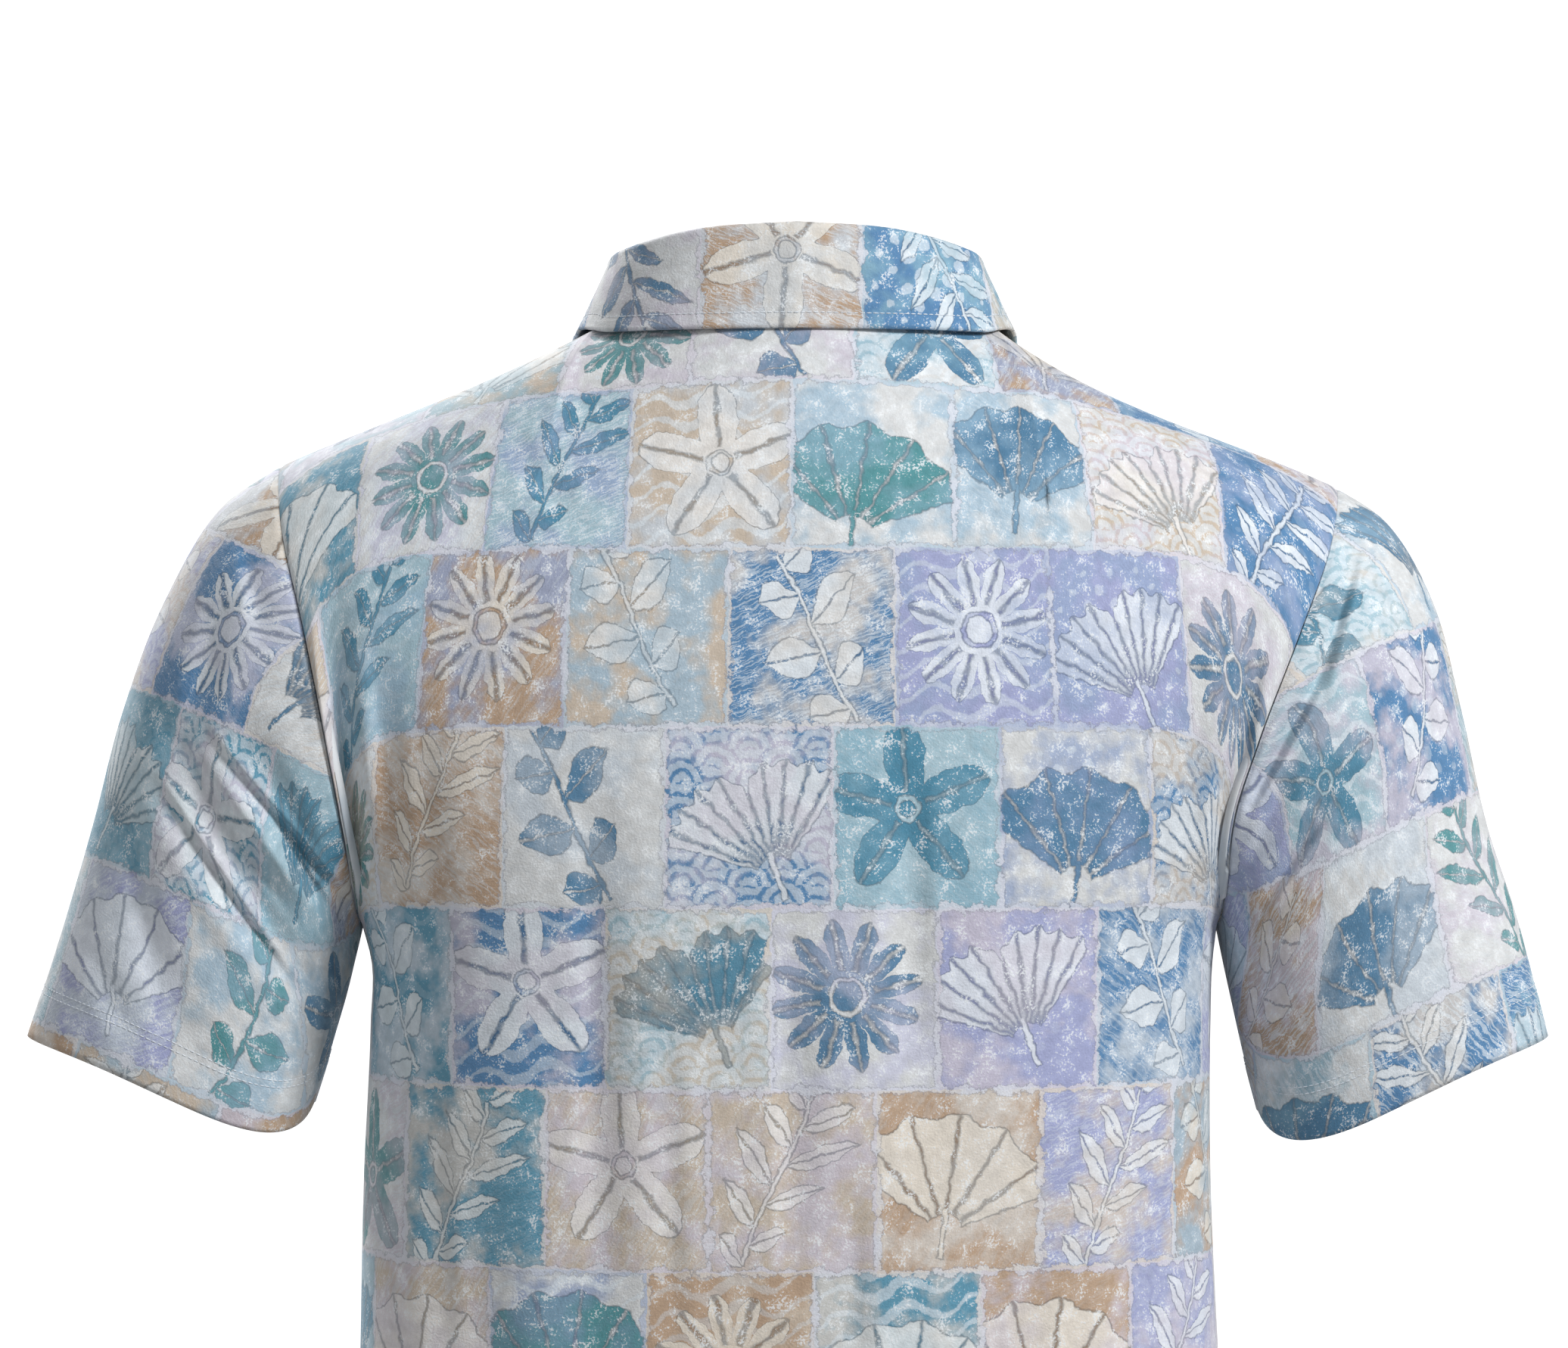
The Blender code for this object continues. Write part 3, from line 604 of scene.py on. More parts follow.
# %% The two panels of the body
BODY_ROWS = 78
YOKE_ROWS = 92
HALF_COLUMNS = 120
SLIT_CLEAR = 1.05  # lines closer to the slit than this share of its half width are left out
HEM_ROWS = (1.0, 18.0, 20.0, 21.4, 23.0, 24.6, 26.0, 28.0)  # mm above the hem, for its stitched edge
CUT_OFFSET = {"back": (0.0, 0.0), "front": (1.31, 0.22)}  # where each piece lies on the printed cloth


def panel_points(name):
    """A panel with its folds: its points, normals, places on the flat cut, and rise and u lines."""
    face = 1 if name == "back" else -1
    u = np.unique([*both_ways(crowded(HALF_COLUMNS)), NECK_SHARE, -NECK_SHARE])
    if face < 0:
        u = np.unique([*u[abs(u) > SLIT_SHARE * SLIT_CLEAR], 0, SLIT_SHARE, -SLIT_SHARE])
    hem_rows = np.array(HEM_ROWS) * MM / (UNDERARM_Z - HEM_Z) - 1
    rise = np.unique([*np.linspace(-1, 0, BODY_ROWS)[:-1], *crowded(YOKE_ROWS), *hem_rows])
    grid = panel_surface(face, u, rise)
    normal = normals(grid, -face)
    from_left = run_along(grid, 1)
    from_hem = run_along(grid, 0)
    uv = np.stack([from_left - from_left[:, [len(u) // 2]], from_hem], axis=-1) + CUT_OFFSET[name]
    sides = np.minimum(from_left, from_left[:, -1:] - from_left)
    top = from_hem[-1:] - from_hem
    depth = all_folds(name, grid, abs(normal[..., 1]), (sides, top)) + hem_depth(from_hem)
    depth += groove(sides, SEAM_VALLEY, SEAM_WIDTH) + groove(top, SEAM_VALLEY, SEAM_WIDTH)
    return grid - normal * depth[..., None], normal, uv, u, rise


def make_panel(name):
    face = 1 if name == "back" else -1
    grid, normal, uv, u, rise = panel_points(name)
    opening = False
    if face < 0:
        opening = np.outer(rise[1:] + rise[:-1] > 2 * SLIT_RISE, abs(u[1:] + u[:-1]) < 2 * SLIT_SHARE)
        opening = np.pad(opening, ((0, 2), (2, 2)), "edge")  # for the seam allowances' cells
    for axis, end in ((1, 0), (1, -1), (0, -1)):
        grid, normal, uv = turned_in(grid, normal, uv, axis, end)
    return cloth_wall(name + "_cloth", grid, uv, -face, JERSEY, opening=opening)


CLOTH = {name: make_panel(name) for name in ("back", "front")}
print("faces of the back:", len(CLOTH["back"].data.polygons))

# %% The two sleeves
SLEEVE_ROUND = 112  # columns in each half of a sleeve's round
SLEEVE_LONG = 125
SLEEVE_OFFSET = {1: (2.45, 0.31), -1: (3.57, 0.12)}


def sleeve_points(side):
    """A sleeve with its folds, as for a panel; its cut's long way runs down the outer arm."""
    turn = np.linspace(0, 2 * pi, 2 * SLEEVE_ROUND + 1)
    grid = sleeve_surface(side, turn, 1 - crowded(SLEEVE_LONG)[::-1])
    normal = closed_normals(grid, side)
    from_seam = run_along(grid, 0)
    from_hem = from_seam[-1:] - from_seam
    around = run_along(grid, 1)
    uv = np.stack([(around[:, [SLEEVE_ROUND]] - around) * side, from_hem], axis=-1) + SLEEVE_OFFSET[side]
    depth = groove(from_seam, SEAM_VALLEY, SEAM_WIDTH) + hem_depth(from_hem)
    for half, sign in (("back", 1), ("front", -1)):
        facing = np.maximum(sign * normal[..., 1], 0)
        depth += all_folds(f"{SIDES[side]} {half}", grid, facing, [from_seam])
    return grid - normal * depth[..., None], normal, uv


for side, name in SIDES.items():
    grid, normal, uv = turned_in(*sleeve_points(side), 0, 0)
    CLOTH["sleeve_" + name] = cloth_wall(f"sleeve_{name}_cloth", grid, uv, side, JERSEY, closed=True)
print("faces of a sleeve:", len(CLOTH["sleeve_left"].data.polygons))

# %% [markdown]
# ## The collar
#
# A polo collar is one folded piece: a stand that rises from the neck seam, a soft turn at the top,
# and a fall that lies over the shoulders. It is lofted between three lines, the neck seam, the fold
# and the fall's edge, and moved out wherever it would sink into the shirt.

# %% The collar's shape
COLLAR_ROLL = 3.5 * MM  # radius of the turn at the fold
COLLAR_END = 1.6 * MM  # the ends stay this far from the middle of the front
COLLAR_REST = 3.6 * MM  # from the shirt to the collar's visible side, over the placket
BACK_REST = 2.3 * MM  # the same behind the neck, where only the yoke lies below it
BACK_FROM = 30 * MM  # this far behind the shoulder seams it has come that close
COLLAR_COLUMNS = 60  # in each quarter of the neck
MIDDLE_COLUMNS = 7  # in half the slit's width, and as many opposite it
STAND_ROWS = 10
ROLL_ROWS = 10
FALL_ROWS = 22
BELOW = np.linspace(-1, 1, 141), np.linspace(0.3, 1, 91)  # u and rise of the shirt that lies below it


def shirt_below():
    """Points and outward normals of the shirt round the neck."""
    panels = {face: panel_surface(face, *BELOW) for face in (1, -1)}
    shirt = np.concatenate([grid.reshape(-1, 3) for grid in panels.values()])
    normal = np.concatenate([normals(grid, -face).reshape(-1, 3) for face, grid in panels.items()])
    return shirt, normal


def lie_off(line, shirt, normal):
    """A line of points, moved out where it would lie closer to the shirt than the collar does."""
    nearest = np.array([np.argmin(np.sum((shirt - point) ** 2, axis=1)) for point in line])
    height = np.sum((line - shirt[nearest]) * normal[nearest], axis=1)
    rest = COLLAR_REST + (BACK_REST - COLLAR_REST) * fade(line[:, 1], BACK_FROM)
    return line + normal[nearest] * np.maximum(rest - height, 0)[:, None]


def collar_lines():
    """The neck seam, the fold and the fall's edge, from one end round the back to the other."""
    first = asin(SLIT_HALF / NECK_HALF)
    middle = np.degrees(np.linspace(0, first, MIDDLE_COLUMNS + 1))[:-1]
    quarter = np.degrees(np.linspace(first, pi / 2, COLLAR_COLUMNS))
    turn = both_ways(np.concatenate([middle, quarter, 180 - quarter[-2::-1], 180 - middle[::-1]]))
    side = np.where(turn >= 0, 1, -1)
    seam = neck_seam(np.radians(abs(turn)), side)
    columns = [lookup(COLLAR, name, abs(turn)) for name in COLLAR[0]._fields[1:]]
    fold, edge = (points(NECK_X + side * x, y, z) for x, y, z in (columns[:3], columns[3:]))
    for line in (seam, fold):
        line[:, 0] = np.where(abs(turn) > 90, side * np.maximum(side * line[:, 0], COLLAR_END), line[:, 0])
    return seam, fold, edge


def collar_points():
    """The collar's visible side: up the inside of the stand, over the fold and down the fall."""
    seam, fold, edge = collar_lines()
    run = np.gradient(fold, axis=0)
    outward = points(-run[:, 1], run[:, 0], 0)
    outward /= np.linalg.norm(outward, axis=-1, keepdims=True)
    up = np.array([0.0, 0.0, 1.0])
    crown = fold + (outward - up) * COLLAR_ROLL
    inner = crown - outward * COLLAR_ROLL
    base = seam + up * SEAM_GAP
    rows = [base + (inner - base) * t for t in np.linspace(0, 1, STAND_ROWS)[:-1]]
    for angle in np.linspace(-pi / 2, pi / 2, ROLL_ROWS):
        rows.append(crown + COLLAR_ROLL * (outward * np.sin(angle) + up * np.cos(angle)))
    start = rows[-1]
    below = shirt_below()
    for t in np.linspace(0, 1, FALL_ROWS)[1:]:
        rows.append(lie_off(start + (edge - start) * t, *below))
    return np.stack(rows)


print("points of the shirt that it lies on:", len(shirt_below()[0]))

# %% The collar's stitched edge
EDGE_SEAM = 7 * MM  # the fall's edge is sewn this far in
EDGE_GROOVE = 0.45 * MM
EDGE_GROOVE_WIDTH = 1.3 * MM
COLLAR_OFFSET = (0.9, 0.55)


def stitched_collar():
    """The collar with the groove of its edge stitching, its normals, and distances from its edges."""
    grid = collar_points()
    normal = normals(grid, 1)
    from_edge = run_along(grid[::-1], 0)[::-1]
    from_left = run_along(grid, 1)
    from_end = np.minimum(from_left, from_left[:, -1:] - from_left)
    on_fall = np.arange(len(grid))[:, None] >= STAND_ROWS + ROLL_ROWS
    inset = np.minimum(from_edge, np.where(on_fall, from_end, from_edge))
    depth = groove(inset - EDGE_SEAM, EDGE_GROOVE, EDGE_GROOVE_WIDTH)
    return grid - normal * depth[..., None], normal, from_edge, from_left


grid, normal, from_edge, from_left = stitched_collar()
from_middle = from_left - from_left[:, [from_left.shape[1] // 2]]
uv = np.stack([from_middle, -from_edge], axis=-1) + COLLAR_OFFSET
CLOTH["collar"] = cloth_wall("collar_cloth", grid, uv, 1, COLLAR_CLOTH)
print("faces of the collar:", len(CLOTH["collar"].data.polygons))

# %% [markdown]
# ## The placket and its buttons
#
# Two narrow strips close the slit in the front. Each is made from the front's own points, moved out
# or in, so it follows the chest exactly. The buttons are turned discs with four holes.

# %% The placket's strips
PLACKET_HALF = 0.017
PLACKET_END_Z = -0.240
PLACKET_TOP = 0.001  # the strips end this far below the neck seam
PLACKET_COLUMNS = 16
PLACKET_ROWS = 90
SEAM_LINE = 2.2 * MM  # the stitches run this far from the strip's edges
PLACKET_GROOVE = 0.25 * MM
PLACKET_GROOVE_WIDTH = 0.9 * MM
PLACKET = {  # how far each strip is moved out, and where it lies on the printed cloth
    "placket_over": (SEAM_GAP + JERSEY, (1.9, 0.63)),
    "placket_under": (-JERSEY - 2 * SEAM_GAP, (2.2, 0.47)),
}
PLACKET_OUT = PLACKET["placket_over"][0]
FRONT_LINES = panel_surface(-1, np.array([-1, 0, SLIT_SHARE, 1]), np.linspace(0, 1, 241))
MIDDLE_LINE, SLIT_LINE = FRONT_LINES[:, 1], FRONT_LINES[:, 2]


def front_point(x, z):
    """The front's outside at places in the placket's stretch, and its outward normals there."""
    bend = (x / SLIT_LINE[:, 0]) ** 2
    line_y, line_z = (MIDDLE_LINE[:, 1:] + (SLIT_LINE - MIDDLE_LINE)[:, 1:] * bend[:, None]).T
    slope = np.interp(z + MM, line_z, line_y) - np.interp(z - MM, line_z, line_y)
    normal = points(0, -1, slope / (2 * MM))
    normal = normal / np.linalg.norm(normal, axis=-1, keepdims=True)
    return points(x, np.interp(z, line_z, line_y), z), normal


def placket_points(moved_out):
    """A strip over the slit, with a slight groove where it is stitched: points, normals and flat places."""
    columns = []
    for x in np.linspace(-PLACKET_HALF, PLACKET_HALF, PLACKET_COLUMNS + 1):
        top = neck_seam(pi - asin(abs(x - NECK_X) / NECK_HALF), 1)[2] - PLACKET_TOP
        z = np.linspace(PLACKET_END_Z, top, PLACKET_ROWS + 1)
        place, normal = front_point(x, z)
        inset = np.minimum(PLACKET_HALF - abs(x), z - PLACKET_END_Z)
        out = moved_out - groove(inset - SEAM_LINE, PLACKET_GROOVE, PLACKET_GROOVE_WIDTH)
        columns.append((place + normal * out[:, None], normal, place[:, [0, 2]]))
    return [np.stack(part, axis=1) for part in zip(*columns)]


for node, (moved_out, offset) in PLACKET.items():
    grid, normal, flat = placket_points(moved_out)
    CLOTH[node] = cloth_wall(node + "_cloth", grid, flat + offset, 1, JERSEY)
print("placket length, mm:", round(1000 * CLOTH["placket_over"].dimensions.z))

# %% The buttons
BUTTON_ACROSS = 11.5 * MM
BUTTON_THICK = 2.6 * MM
BUTTON_SEAT = 0.4 * MM  # between a button and the placket
BUTTON_Z = (-0.096, -0.150, -0.204)
HOLE_ACROSS = 1.5 * MM
HOLE_PLACE = 1.35 * MM  # each hole's middle is this far from the button's in both directions
BUTTON_PROFILE = (  # share of the radius, share of the thickness
    (0.00, 0.62),
    (0.56, 0.62),
    (0.66, 0.72),
    (0.76, 0.98),
    (0.88, 1.00),
    (0.97, 0.86),
    (1.00, 0.55),
    (0.97, 0.20),
    (0.88, 0.02),
    (0.00, 0.00),
)


def spun(name, profile, steps, **settings):
    """A form turned from a profile of radii and heights, as on a lathe."""
    mesh = bpy.data.meshes.new(name)
    corners = [(radius, 0, height) for radius, height in profile]
    mesh.from_pydata(corners, [(i, i + 1) for i in range(len(corners) - 1)], [])
    piece = placed(name, mesh)
    turned = piece.modifiers.new("turned", "SCREW")
    turned.steps = turned.render_steps = steps
    turned.use_merge_vertices = True
    turned.merge_threshold = 0.01 * MM
    for setting, value in settings.items():
        setattr(turned, setting, value)
    return piece


def button_blank():
    """A turned disc with a raised rim and four holes."""
    profile = [(r * BUTTON_ACROSS / 2, (h - 0.5) * BUTTON_THICK) for r, h in BUTTON_PROFILE]
    blank = spun("button_blank", profile, 48, use_normal_calculate=True)
    drills = []
    for x, y in ((1, 1), (1, -1), (-1, 1), (-1, -1)):
        bpy.ops.mesh.primitive_cylinder_add(
            vertices=20, radius=HOLE_ACROSS / 2, depth=2 * BUTTON_THICK,
            location=(x * HOLE_PLACE, y * HOLE_PLACE, 0),
        )
        drills.append(bpy.context.object)
        hole = blank.modifiers.new("hole", "BOOLEAN")
        hole.operation = "DIFFERENCE"
        hole.object = drills[-1]
        hole.solver = "EXACT"
    finished(blank)
    for drill in drills:
        bpy.data.objects.remove(drill, do_unlink=True)
    return blank


blank = button_blank()
print("points of a button:", len(blank.data.vertices))

# %% Three buttons, each tilted like the chest
buttons = []
for number, z in enumerate(BUTTON_Z, 1):
    place, normal = front_point(0.0, z)
    place = place + normal * (PLACKET_OUT + BUTTON_SEAT + BUTTON_THICK / 2)
    tilt = pi / 2 - atan2(normal[2], -normal[1])
    turn = np.array([[1, 0, 0], [0, cos(tilt), -sin(tilt)], [0, sin(tilt), cos(tilt)]])
    button = placed(f"button_{number}_turned", blank.data.copy())
    corners = np.array([corner.co for corner in button.data.vertices]) @ turn.T + place
    button.data.vertices.foreach_set("co", corners.reshape(-1))
    button.data.shade_smooth()
    buttons.append(button)
bpy.data.objects.remove(blank, do_unlink=True)
print("faces of a button:", len(buttons[0].data.polygons))

# %% [markdown]
# ## The printed jersey
#
# The cloth is a fine cotton jersey, printed all over with a patchwork of small pictures in watercolour
# tones, and pale on its inside. An image could hold such a print. Here nodes draw it instead, because
# a formula stays sharp at any distance. Each tile of the patchwork gets random numbers from its row
# and column, and they pick its two colours and its motif. Each motif is one number per point, which
# is below zero inside the drawn shape, in millimetres.


# %% Colours and one helper for nodes
def colour(hex_code):
    """An sRGB hex colour as linear RGBA."""
    parts = [int(hex_code[i : i + 2], 16) / 255 for i in (1, 3, 5)]
    linear = [part / 12.92 if part <= 0.04045 else ((part + 0.055) / 1.055) ** 2.4 for part in parts]
    return (*linear, 1.0)


def add(tree, kind, *values, out=0, at=None, **settings):
    """Adds one node and returns an output. A kind is a Math operation in capitals, or a node type, after
    it its operation if it has one. Values go to the inputs in order, or to those that at names. Outputs
    are linked, and a list adds a node of its own first: its kind and its values."""
    inputs = [*enumerate(values), *(at or {}).items()]
    inputs = [(place, add(tree, *value) if isinstance(value, list) else value) for place, value in inputs]
    kind, _, operation = ("Math " + kind if kind.isupper() else kind).partition(" ")
    whole = kind.startswith(("Geometry", "Function"))
    node = tree.nodes.new(kind if whole else "ShaderNode" + kind)
    if operation:
        node.operation = operation
    for name, setting in settings.items():
        setattr(node, name, setting)
    for place, value in inputs:
        if isinstance(value, bpy.types.NodeSocket):
            tree.links.new(value, node.inputs[place])
        else:
            node.inputs[place].default_value = value
    return node.outputs[out]


print("denim blue, linear:", [round(part, 3) for part in colour("#6c93ae")])

# %% [markdown]
# ### The motifs
#
# A flower, a star, a shell and a fan-shaped leaf are all shapes whose radius changes with the angle.
# A sprig is leaves folded to both sides of a stem. Waves, scales and dots repeat on a small grid.
# Each function below writes one formula, in millimetres from the motif's middle, and returns the
# number that is below zero inside. Its arguments become the inputs of a node group of its name.

# %% A round motif: petals or arms round a middle
WAIST = 0.34  # radius between two petals, as a share of their reach
RING_LINE = 0.9  # half the pale ring's width
VEIN_LINE = 0.35  # half a vein's width
VEINS_FROM = 1.6  # where the veins start, in radii of the ring


def rosette(tree, x, y, count, reach, point, middle):
    """Petals: how many, how far they reach, how pointed they are, and the middle ring's radius."""
    radius = add(tree, "SQRT", ["MULTIPLY_ADD", x, x, ["MULTIPLY", y, y]])
    turn = add(tree, "MULTIPLY", ["ARCTAN2", y, x], ["MULTIPLY", count, 0.5])
    lobe = ["POWER", ["ABSOLUTE", ["COSINE", turn]], point]
    rim = ["MULTIPLY", reach, ["MULTIPLY_ADD", lobe, 1 - WAIST, WAIST]]
    ring = ["SUBTRACT", RING_LINE, ["ABSOLUTE", ["SUBTRACT", radius, middle]]]
    petals = add(tree, "MAXIMUM", ["SUBTRACT", radius, rim], ring)
    vein = ["MULTIPLY", ["ABSOLUTE", ["SINE", turn]], ["DIVIDE", radius, count]]
    vein = ["MAXIMUM", vein, ["SUBTRACT", ["MULTIPLY", middle, VEINS_FROM], radius]]
    return add(tree, "MAXIMUM", petals, ["SUBTRACT", VEIN_LINE, vein])


print("a rosette's own inputs:", list(signature(rosette).parameters)[3:])

# %% A fan: a shell or a fan-shaped leaf on its stem
FAN_FOOT = 22.0  # the ribs meet this far below the middle
FAN_REACH = 41.0
FAN_WAVE = 1.3  # how far the rim waves in and out
FAN_START = 7.0  # the blade starts here, and the stem ends a little further up
STEM_END = 9.0
FAN_STEM = 0.9  # half its width
RIB_LINE = 0.22
NOTCH_SLOPE = 22.0  # how narrow the notch is


def fan(tree, x, y, ribs, spread, notch):
    """A blade that opens upwards: its ribs, half its spread, and how deep a notch in its middle is."""
    low = add(tree, "ADD", y, FAN_FOOT)
    radius = add(tree, "SQRT", ["MULTIPLY_ADD", x, x, ["MULTIPLY", low, low]])
    angle = add(tree, "ARCTAN2", x, low)
    aside = add(tree, "ABSOLUTE", angle)
    wave = ["MULTIPLY_ADD", ["COSINE", ["MULTIPLY", angle, ribs]], FAN_WAVE, FAN_REACH]
    rim = ["SUBTRACT", wave, ["DIVIDE", notch, ["MULTIPLY_ADD", aside, NOTCH_SLOPE, 1.0]]]
    sides = ["MULTIPLY", ["SUBTRACT", aside, spread], radius]
    blade = add(tree, "MAXIMUM", sides, ["SUBTRACT", radius, rim])
    blade = add(tree, "MAXIMUM", blade, ["SUBTRACT", FAN_START, radius])
    rib = ["ABSOLUTE", ["SINE", ["MULTIPLY", angle, ["MULTIPLY", ribs, 0.5]]]]
    rib = ["DIVIDE", ["MULTIPLY", rib, radius], ribs]
    blade = add(tree, "MAXIMUM", blade, ["SUBTRACT", RIB_LINE, rib])
    stem = ["MAXIMUM", ["SUBTRACT", ["ABSOLUTE", x], FAN_STEM], ["SUBTRACT", radius, STEM_END]]
    return add(tree, "MINIMUM", blade, stem)


print("a fan's own inputs:", list(signature(fan).parameters)[3:])

# %% A sprig: pairs of pointed leaves on a stem
SPRIG_BEND = 3.0  # the stem swings this far to both sides, at this rate
SPRIG_RATE = 0.06
SPRIG_HALF = 31.0  # no leaf grows further from the middle than this, and the stem ends here
STEM_HALF = 33.0
LEAF_LENGTH = 21.0  # in the middle, less for each mm away from it, and at least
LEAF_TAPER = -0.32
SHORTEST = 3.0
LEAF_TIP = 0.98
MIDRIB_LINE = 0.3
SPRIG_STEM = 0.7


def sprig(tree, x, y, spacing, width, tilt):
    """Leaves in pairs: their spacing along the stem, their half width and their tilt."""
    bent = add(tree, "MULTIPLY_ADD", ["SINE", ["MULTIPLY", y, SPRIG_RATE]], SPRIG_BEND, x)
    away = add(tree, "ABSOLUTE", bent)
    height = ["MULTIPLY_ADD", away, ["MULTIPLY", tilt, -1.0], y]
    height = add(tree, "MULTIPLY_ADD", ["SIGN", bent], ["MULTIPLY", spacing, 0.25], height)
    in_cell = add(tree, "WRAP", height, ["MULTIPLY", spacing, 0.5], ["MULTIPLY", spacing, -0.5])
    from_rib = add(tree, "ABSOLUTE", in_cell)
    from_middle = add(tree, "ABSOLUTE", ["SUBTRACT", height, in_cell])
    length = ["MAXIMUM", ["MULTIPLY_ADD", from_middle, LEAF_TAPER, LEAF_LENGTH], SHORTEST]
    share = add(tree, "DIVIDE", away, length)
    bulge = ["SINE", ["MULTIPLY", ["MINIMUM", share, 1.0], pi]]
    blade = ["MULTIPLY_ADD", bulge, ["MULTIPLY", width, -1.0], from_rib]
    blade = add(tree, "MAXIMUM", blade, ["SUBTRACT", MIDRIB_LINE, from_rib])
    blade = add(tree, "MAXIMUM", blade, ["MULTIPLY", ["SUBTRACT", share, LEAF_TIP], 10.0])
    blade = add(tree, "MAXIMUM", blade, ["SUBTRACT", from_middle, SPRIG_HALF])
    stem = ["MAXIMUM", ["SUBTRACT", away, SPRIG_STEM], ["SUBTRACT", ["ABSOLUTE", y], STEM_HALF]]
    return add(tree, "MINIMUM", blade, stem)


print("a sprig's own inputs:", list(signature(sprig).parameters)[3:])

# %% Repeats: scales, waves, dots and brush strokes
SCALE_STEP = 0.17  # distance between a scale's arcs and half their width, as shares of its size
SCALE_LINE = 0.065
WAVE_RATE = 0.21
WAVE_SWELL = (0.9, 1.9)  # how much a band's half width changes, and its middle value
DOT_SHRINK = 0.0028  # dots are smaller towards the tile's corners
STROKE = (0.42, 0.035)  # noise across and along the brush strokes, per mm
STROKE_SHARE = 0.53
STROKE_EDGE = 14.0


def scales(tree, x, y, size):
    """Arcs of overlapping round scales."""
    rounds = []
    for shift in (0.0, 1.0):
        u = add(tree, "WRAP", ["MULTIPLY_ADD", size, shift, x], size, ["MULTIPLY", size, -1.0])
        v = add(tree, "WRAP", ["MULTIPLY_ADD", size, shift / 2, y], size, 0.0)
        rounds.append(add(tree, "SQRT", ["MULTIPLY_ADD", u, u, ["MULTIPLY", v, v]]))
    arcs = ["PINGPONG", ["MINIMUM", *rounds], ["MULTIPLY", size, SCALE_STEP]]
    return add(tree, "SUBTRACT", ["MULTIPLY", size, SCALE_LINE], arcs)


def waves(tree, x, y, spacing, height):
    """Wavy bands that swell and narrow."""
    lift = ["MULTIPLY_ADD", ["SINE", ["MULTIPLY", x, WAVE_RATE]], height, y]
    band = ["PINGPONG", lift, ["MULTIPLY", spacing, 0.5]]
    swell = ["MULTIPLY_ADD", ["COSINE", ["MULTIPLY", x, WAVE_RATE / 2]], *WAVE_SWELL]
    return add(tree, "SUBTRACT", band, swell)


def dots(tree, x, y, spacing, largest):
    """Dots on a slanted grid, larger in the middle of the tile."""
    half, minus = (add(tree, "MULTIPLY", spacing, share) for share in (0.5, -0.5))
    u, v = (add(tree, "WRAP", [sign, x, y], half, minus) for sign in ("ADD", "SUBTRACT"))
    near = add(tree, "SQRT", ["MULTIPLY_ADD", u, u, ["MULTIPLY", v, v]])
    far = ["MULTIPLY_ADD", x, x, ["MULTIPLY", y, y]]
    return add(tree, "SUBTRACT", near, ["SUBTRACT", largest, ["MULTIPLY", far, DOT_SHRINK]])


def strokes(tree, x, y, slant):
    """Slanted dry-brush strokes."""
    u = ["MULTIPLY", ["MULTIPLY_ADD", y, slant, x], STROKE[0]]
    v = ["MULTIPLY", ["MULTIPLY_ADD", x, ["MULTIPLY", slant, -1.0], y], STROKE[1]]
    bristles = {"Vector": ["CombineXYZ", u, v], "Scale": 1.0, "Detail": 3.0, "Roughness": 0.6}
    noise = add(tree, "TexNoise", at=bristles, noise_dimensions="2D")
    return add(tree, "MULTIPLY", ["SUBTRACT", STROKE_SHARE, noise], STROKE_EDGE)


def motif_group(shape):
    """A node group for one of the functions above."""
    tree = bpy.data.node_groups.new(shape.__name__, "ShaderNodeTree")
    names = list(signature(shape).parameters)[1:]
    for socket in names:
        tree.interface.new_socket(socket, in_out="INPUT", socket_type="NodeSocketFloat")
    tree.interface.new_socket("inside", in_out="OUTPUT", socket_type="NodeSocketFloat")
    start, end = tree.nodes.new("NodeGroupInput"), tree.nodes.new("NodeGroupOutput")
    tree.links.new(shape(tree, *(start.outputs[socket] for socket in names)), end.inputs["inside"])
    return tree


MOTIF_GROUPS = {shape: motif_group(shape) for shape in (rosette, fan, sprig, scales, waves, dots, strokes)}
print("motif groups:", [group.name for group in MOTIF_GROUPS.values()])

# %% [markdown]
# ### The patchwork
#
# The tiles stand in rows like bricks. Their edges are torn: the place on the cloth is first shaken by
# a noise, so every straight line wavers. A pale rim and a fine darker line run round each tile, and
# the colours run and dry unevenly, with specks where the wax resisted the dye.

# %% The palette
GROUNDS = ("#c8cacb", "#4d7aa3", "#bbae9f", "#99b4c0", "#c5c7c8", "#979dc1", "#ae957e", "#558ca4")
SECONDS = ("#b8c2cc", "#8a9bbb", "#cac4bd", "#81a8ba", "#bfb9c6", "#b9bbcf", "#c5b8a8", "#93b0c4")
MOTIFS = ("#267e84", "#cfd6dc", "#d6d3cf", "#2b7592", "#20668c", "#d2d8e1", "#d6cfc4", "#ccd5d9")
TILE_ACROSS = 74.0  # mm
TILE_UP = 80.0
TILE_SEEDS = (3.7, 9.1)
ROW_SHIFT = 0.37  # each row starts this share of a tile further on
FIGURE_SIZE = 0.80  # below 1 the figures grow, so that some run over their tile's edge
FIGURE_SHIFT = 14.0  # mm, in which a figure's middle lies by chance
FIGURES = (  # shape, the values of its own inputs, and how far it is turned
    (rosette, {"count": 12.0, "reach": 27.0, "point": 0.55, "middle": 6.0}, 0.2),
    (fan, {"ribs": 30.0, "spread": 0.95, "notch": 13.0}, 0.35),
    (sprig, {"spacing": 15.0, "width": 4.6, "tilt": 0.75}, -0.3),
    (rosette, {"count": 5.0, "reach": 31.0, "point": 1.5, "middle": 4.0}, -0.25),
    (sprig, {"spacing": 22.0, "width": 7.5, "tilt": 0.35}, 0.55),
    (fan, {"ribs": 15.0, "spread": 1.1, "notch": 0.0}, -0.15),
)
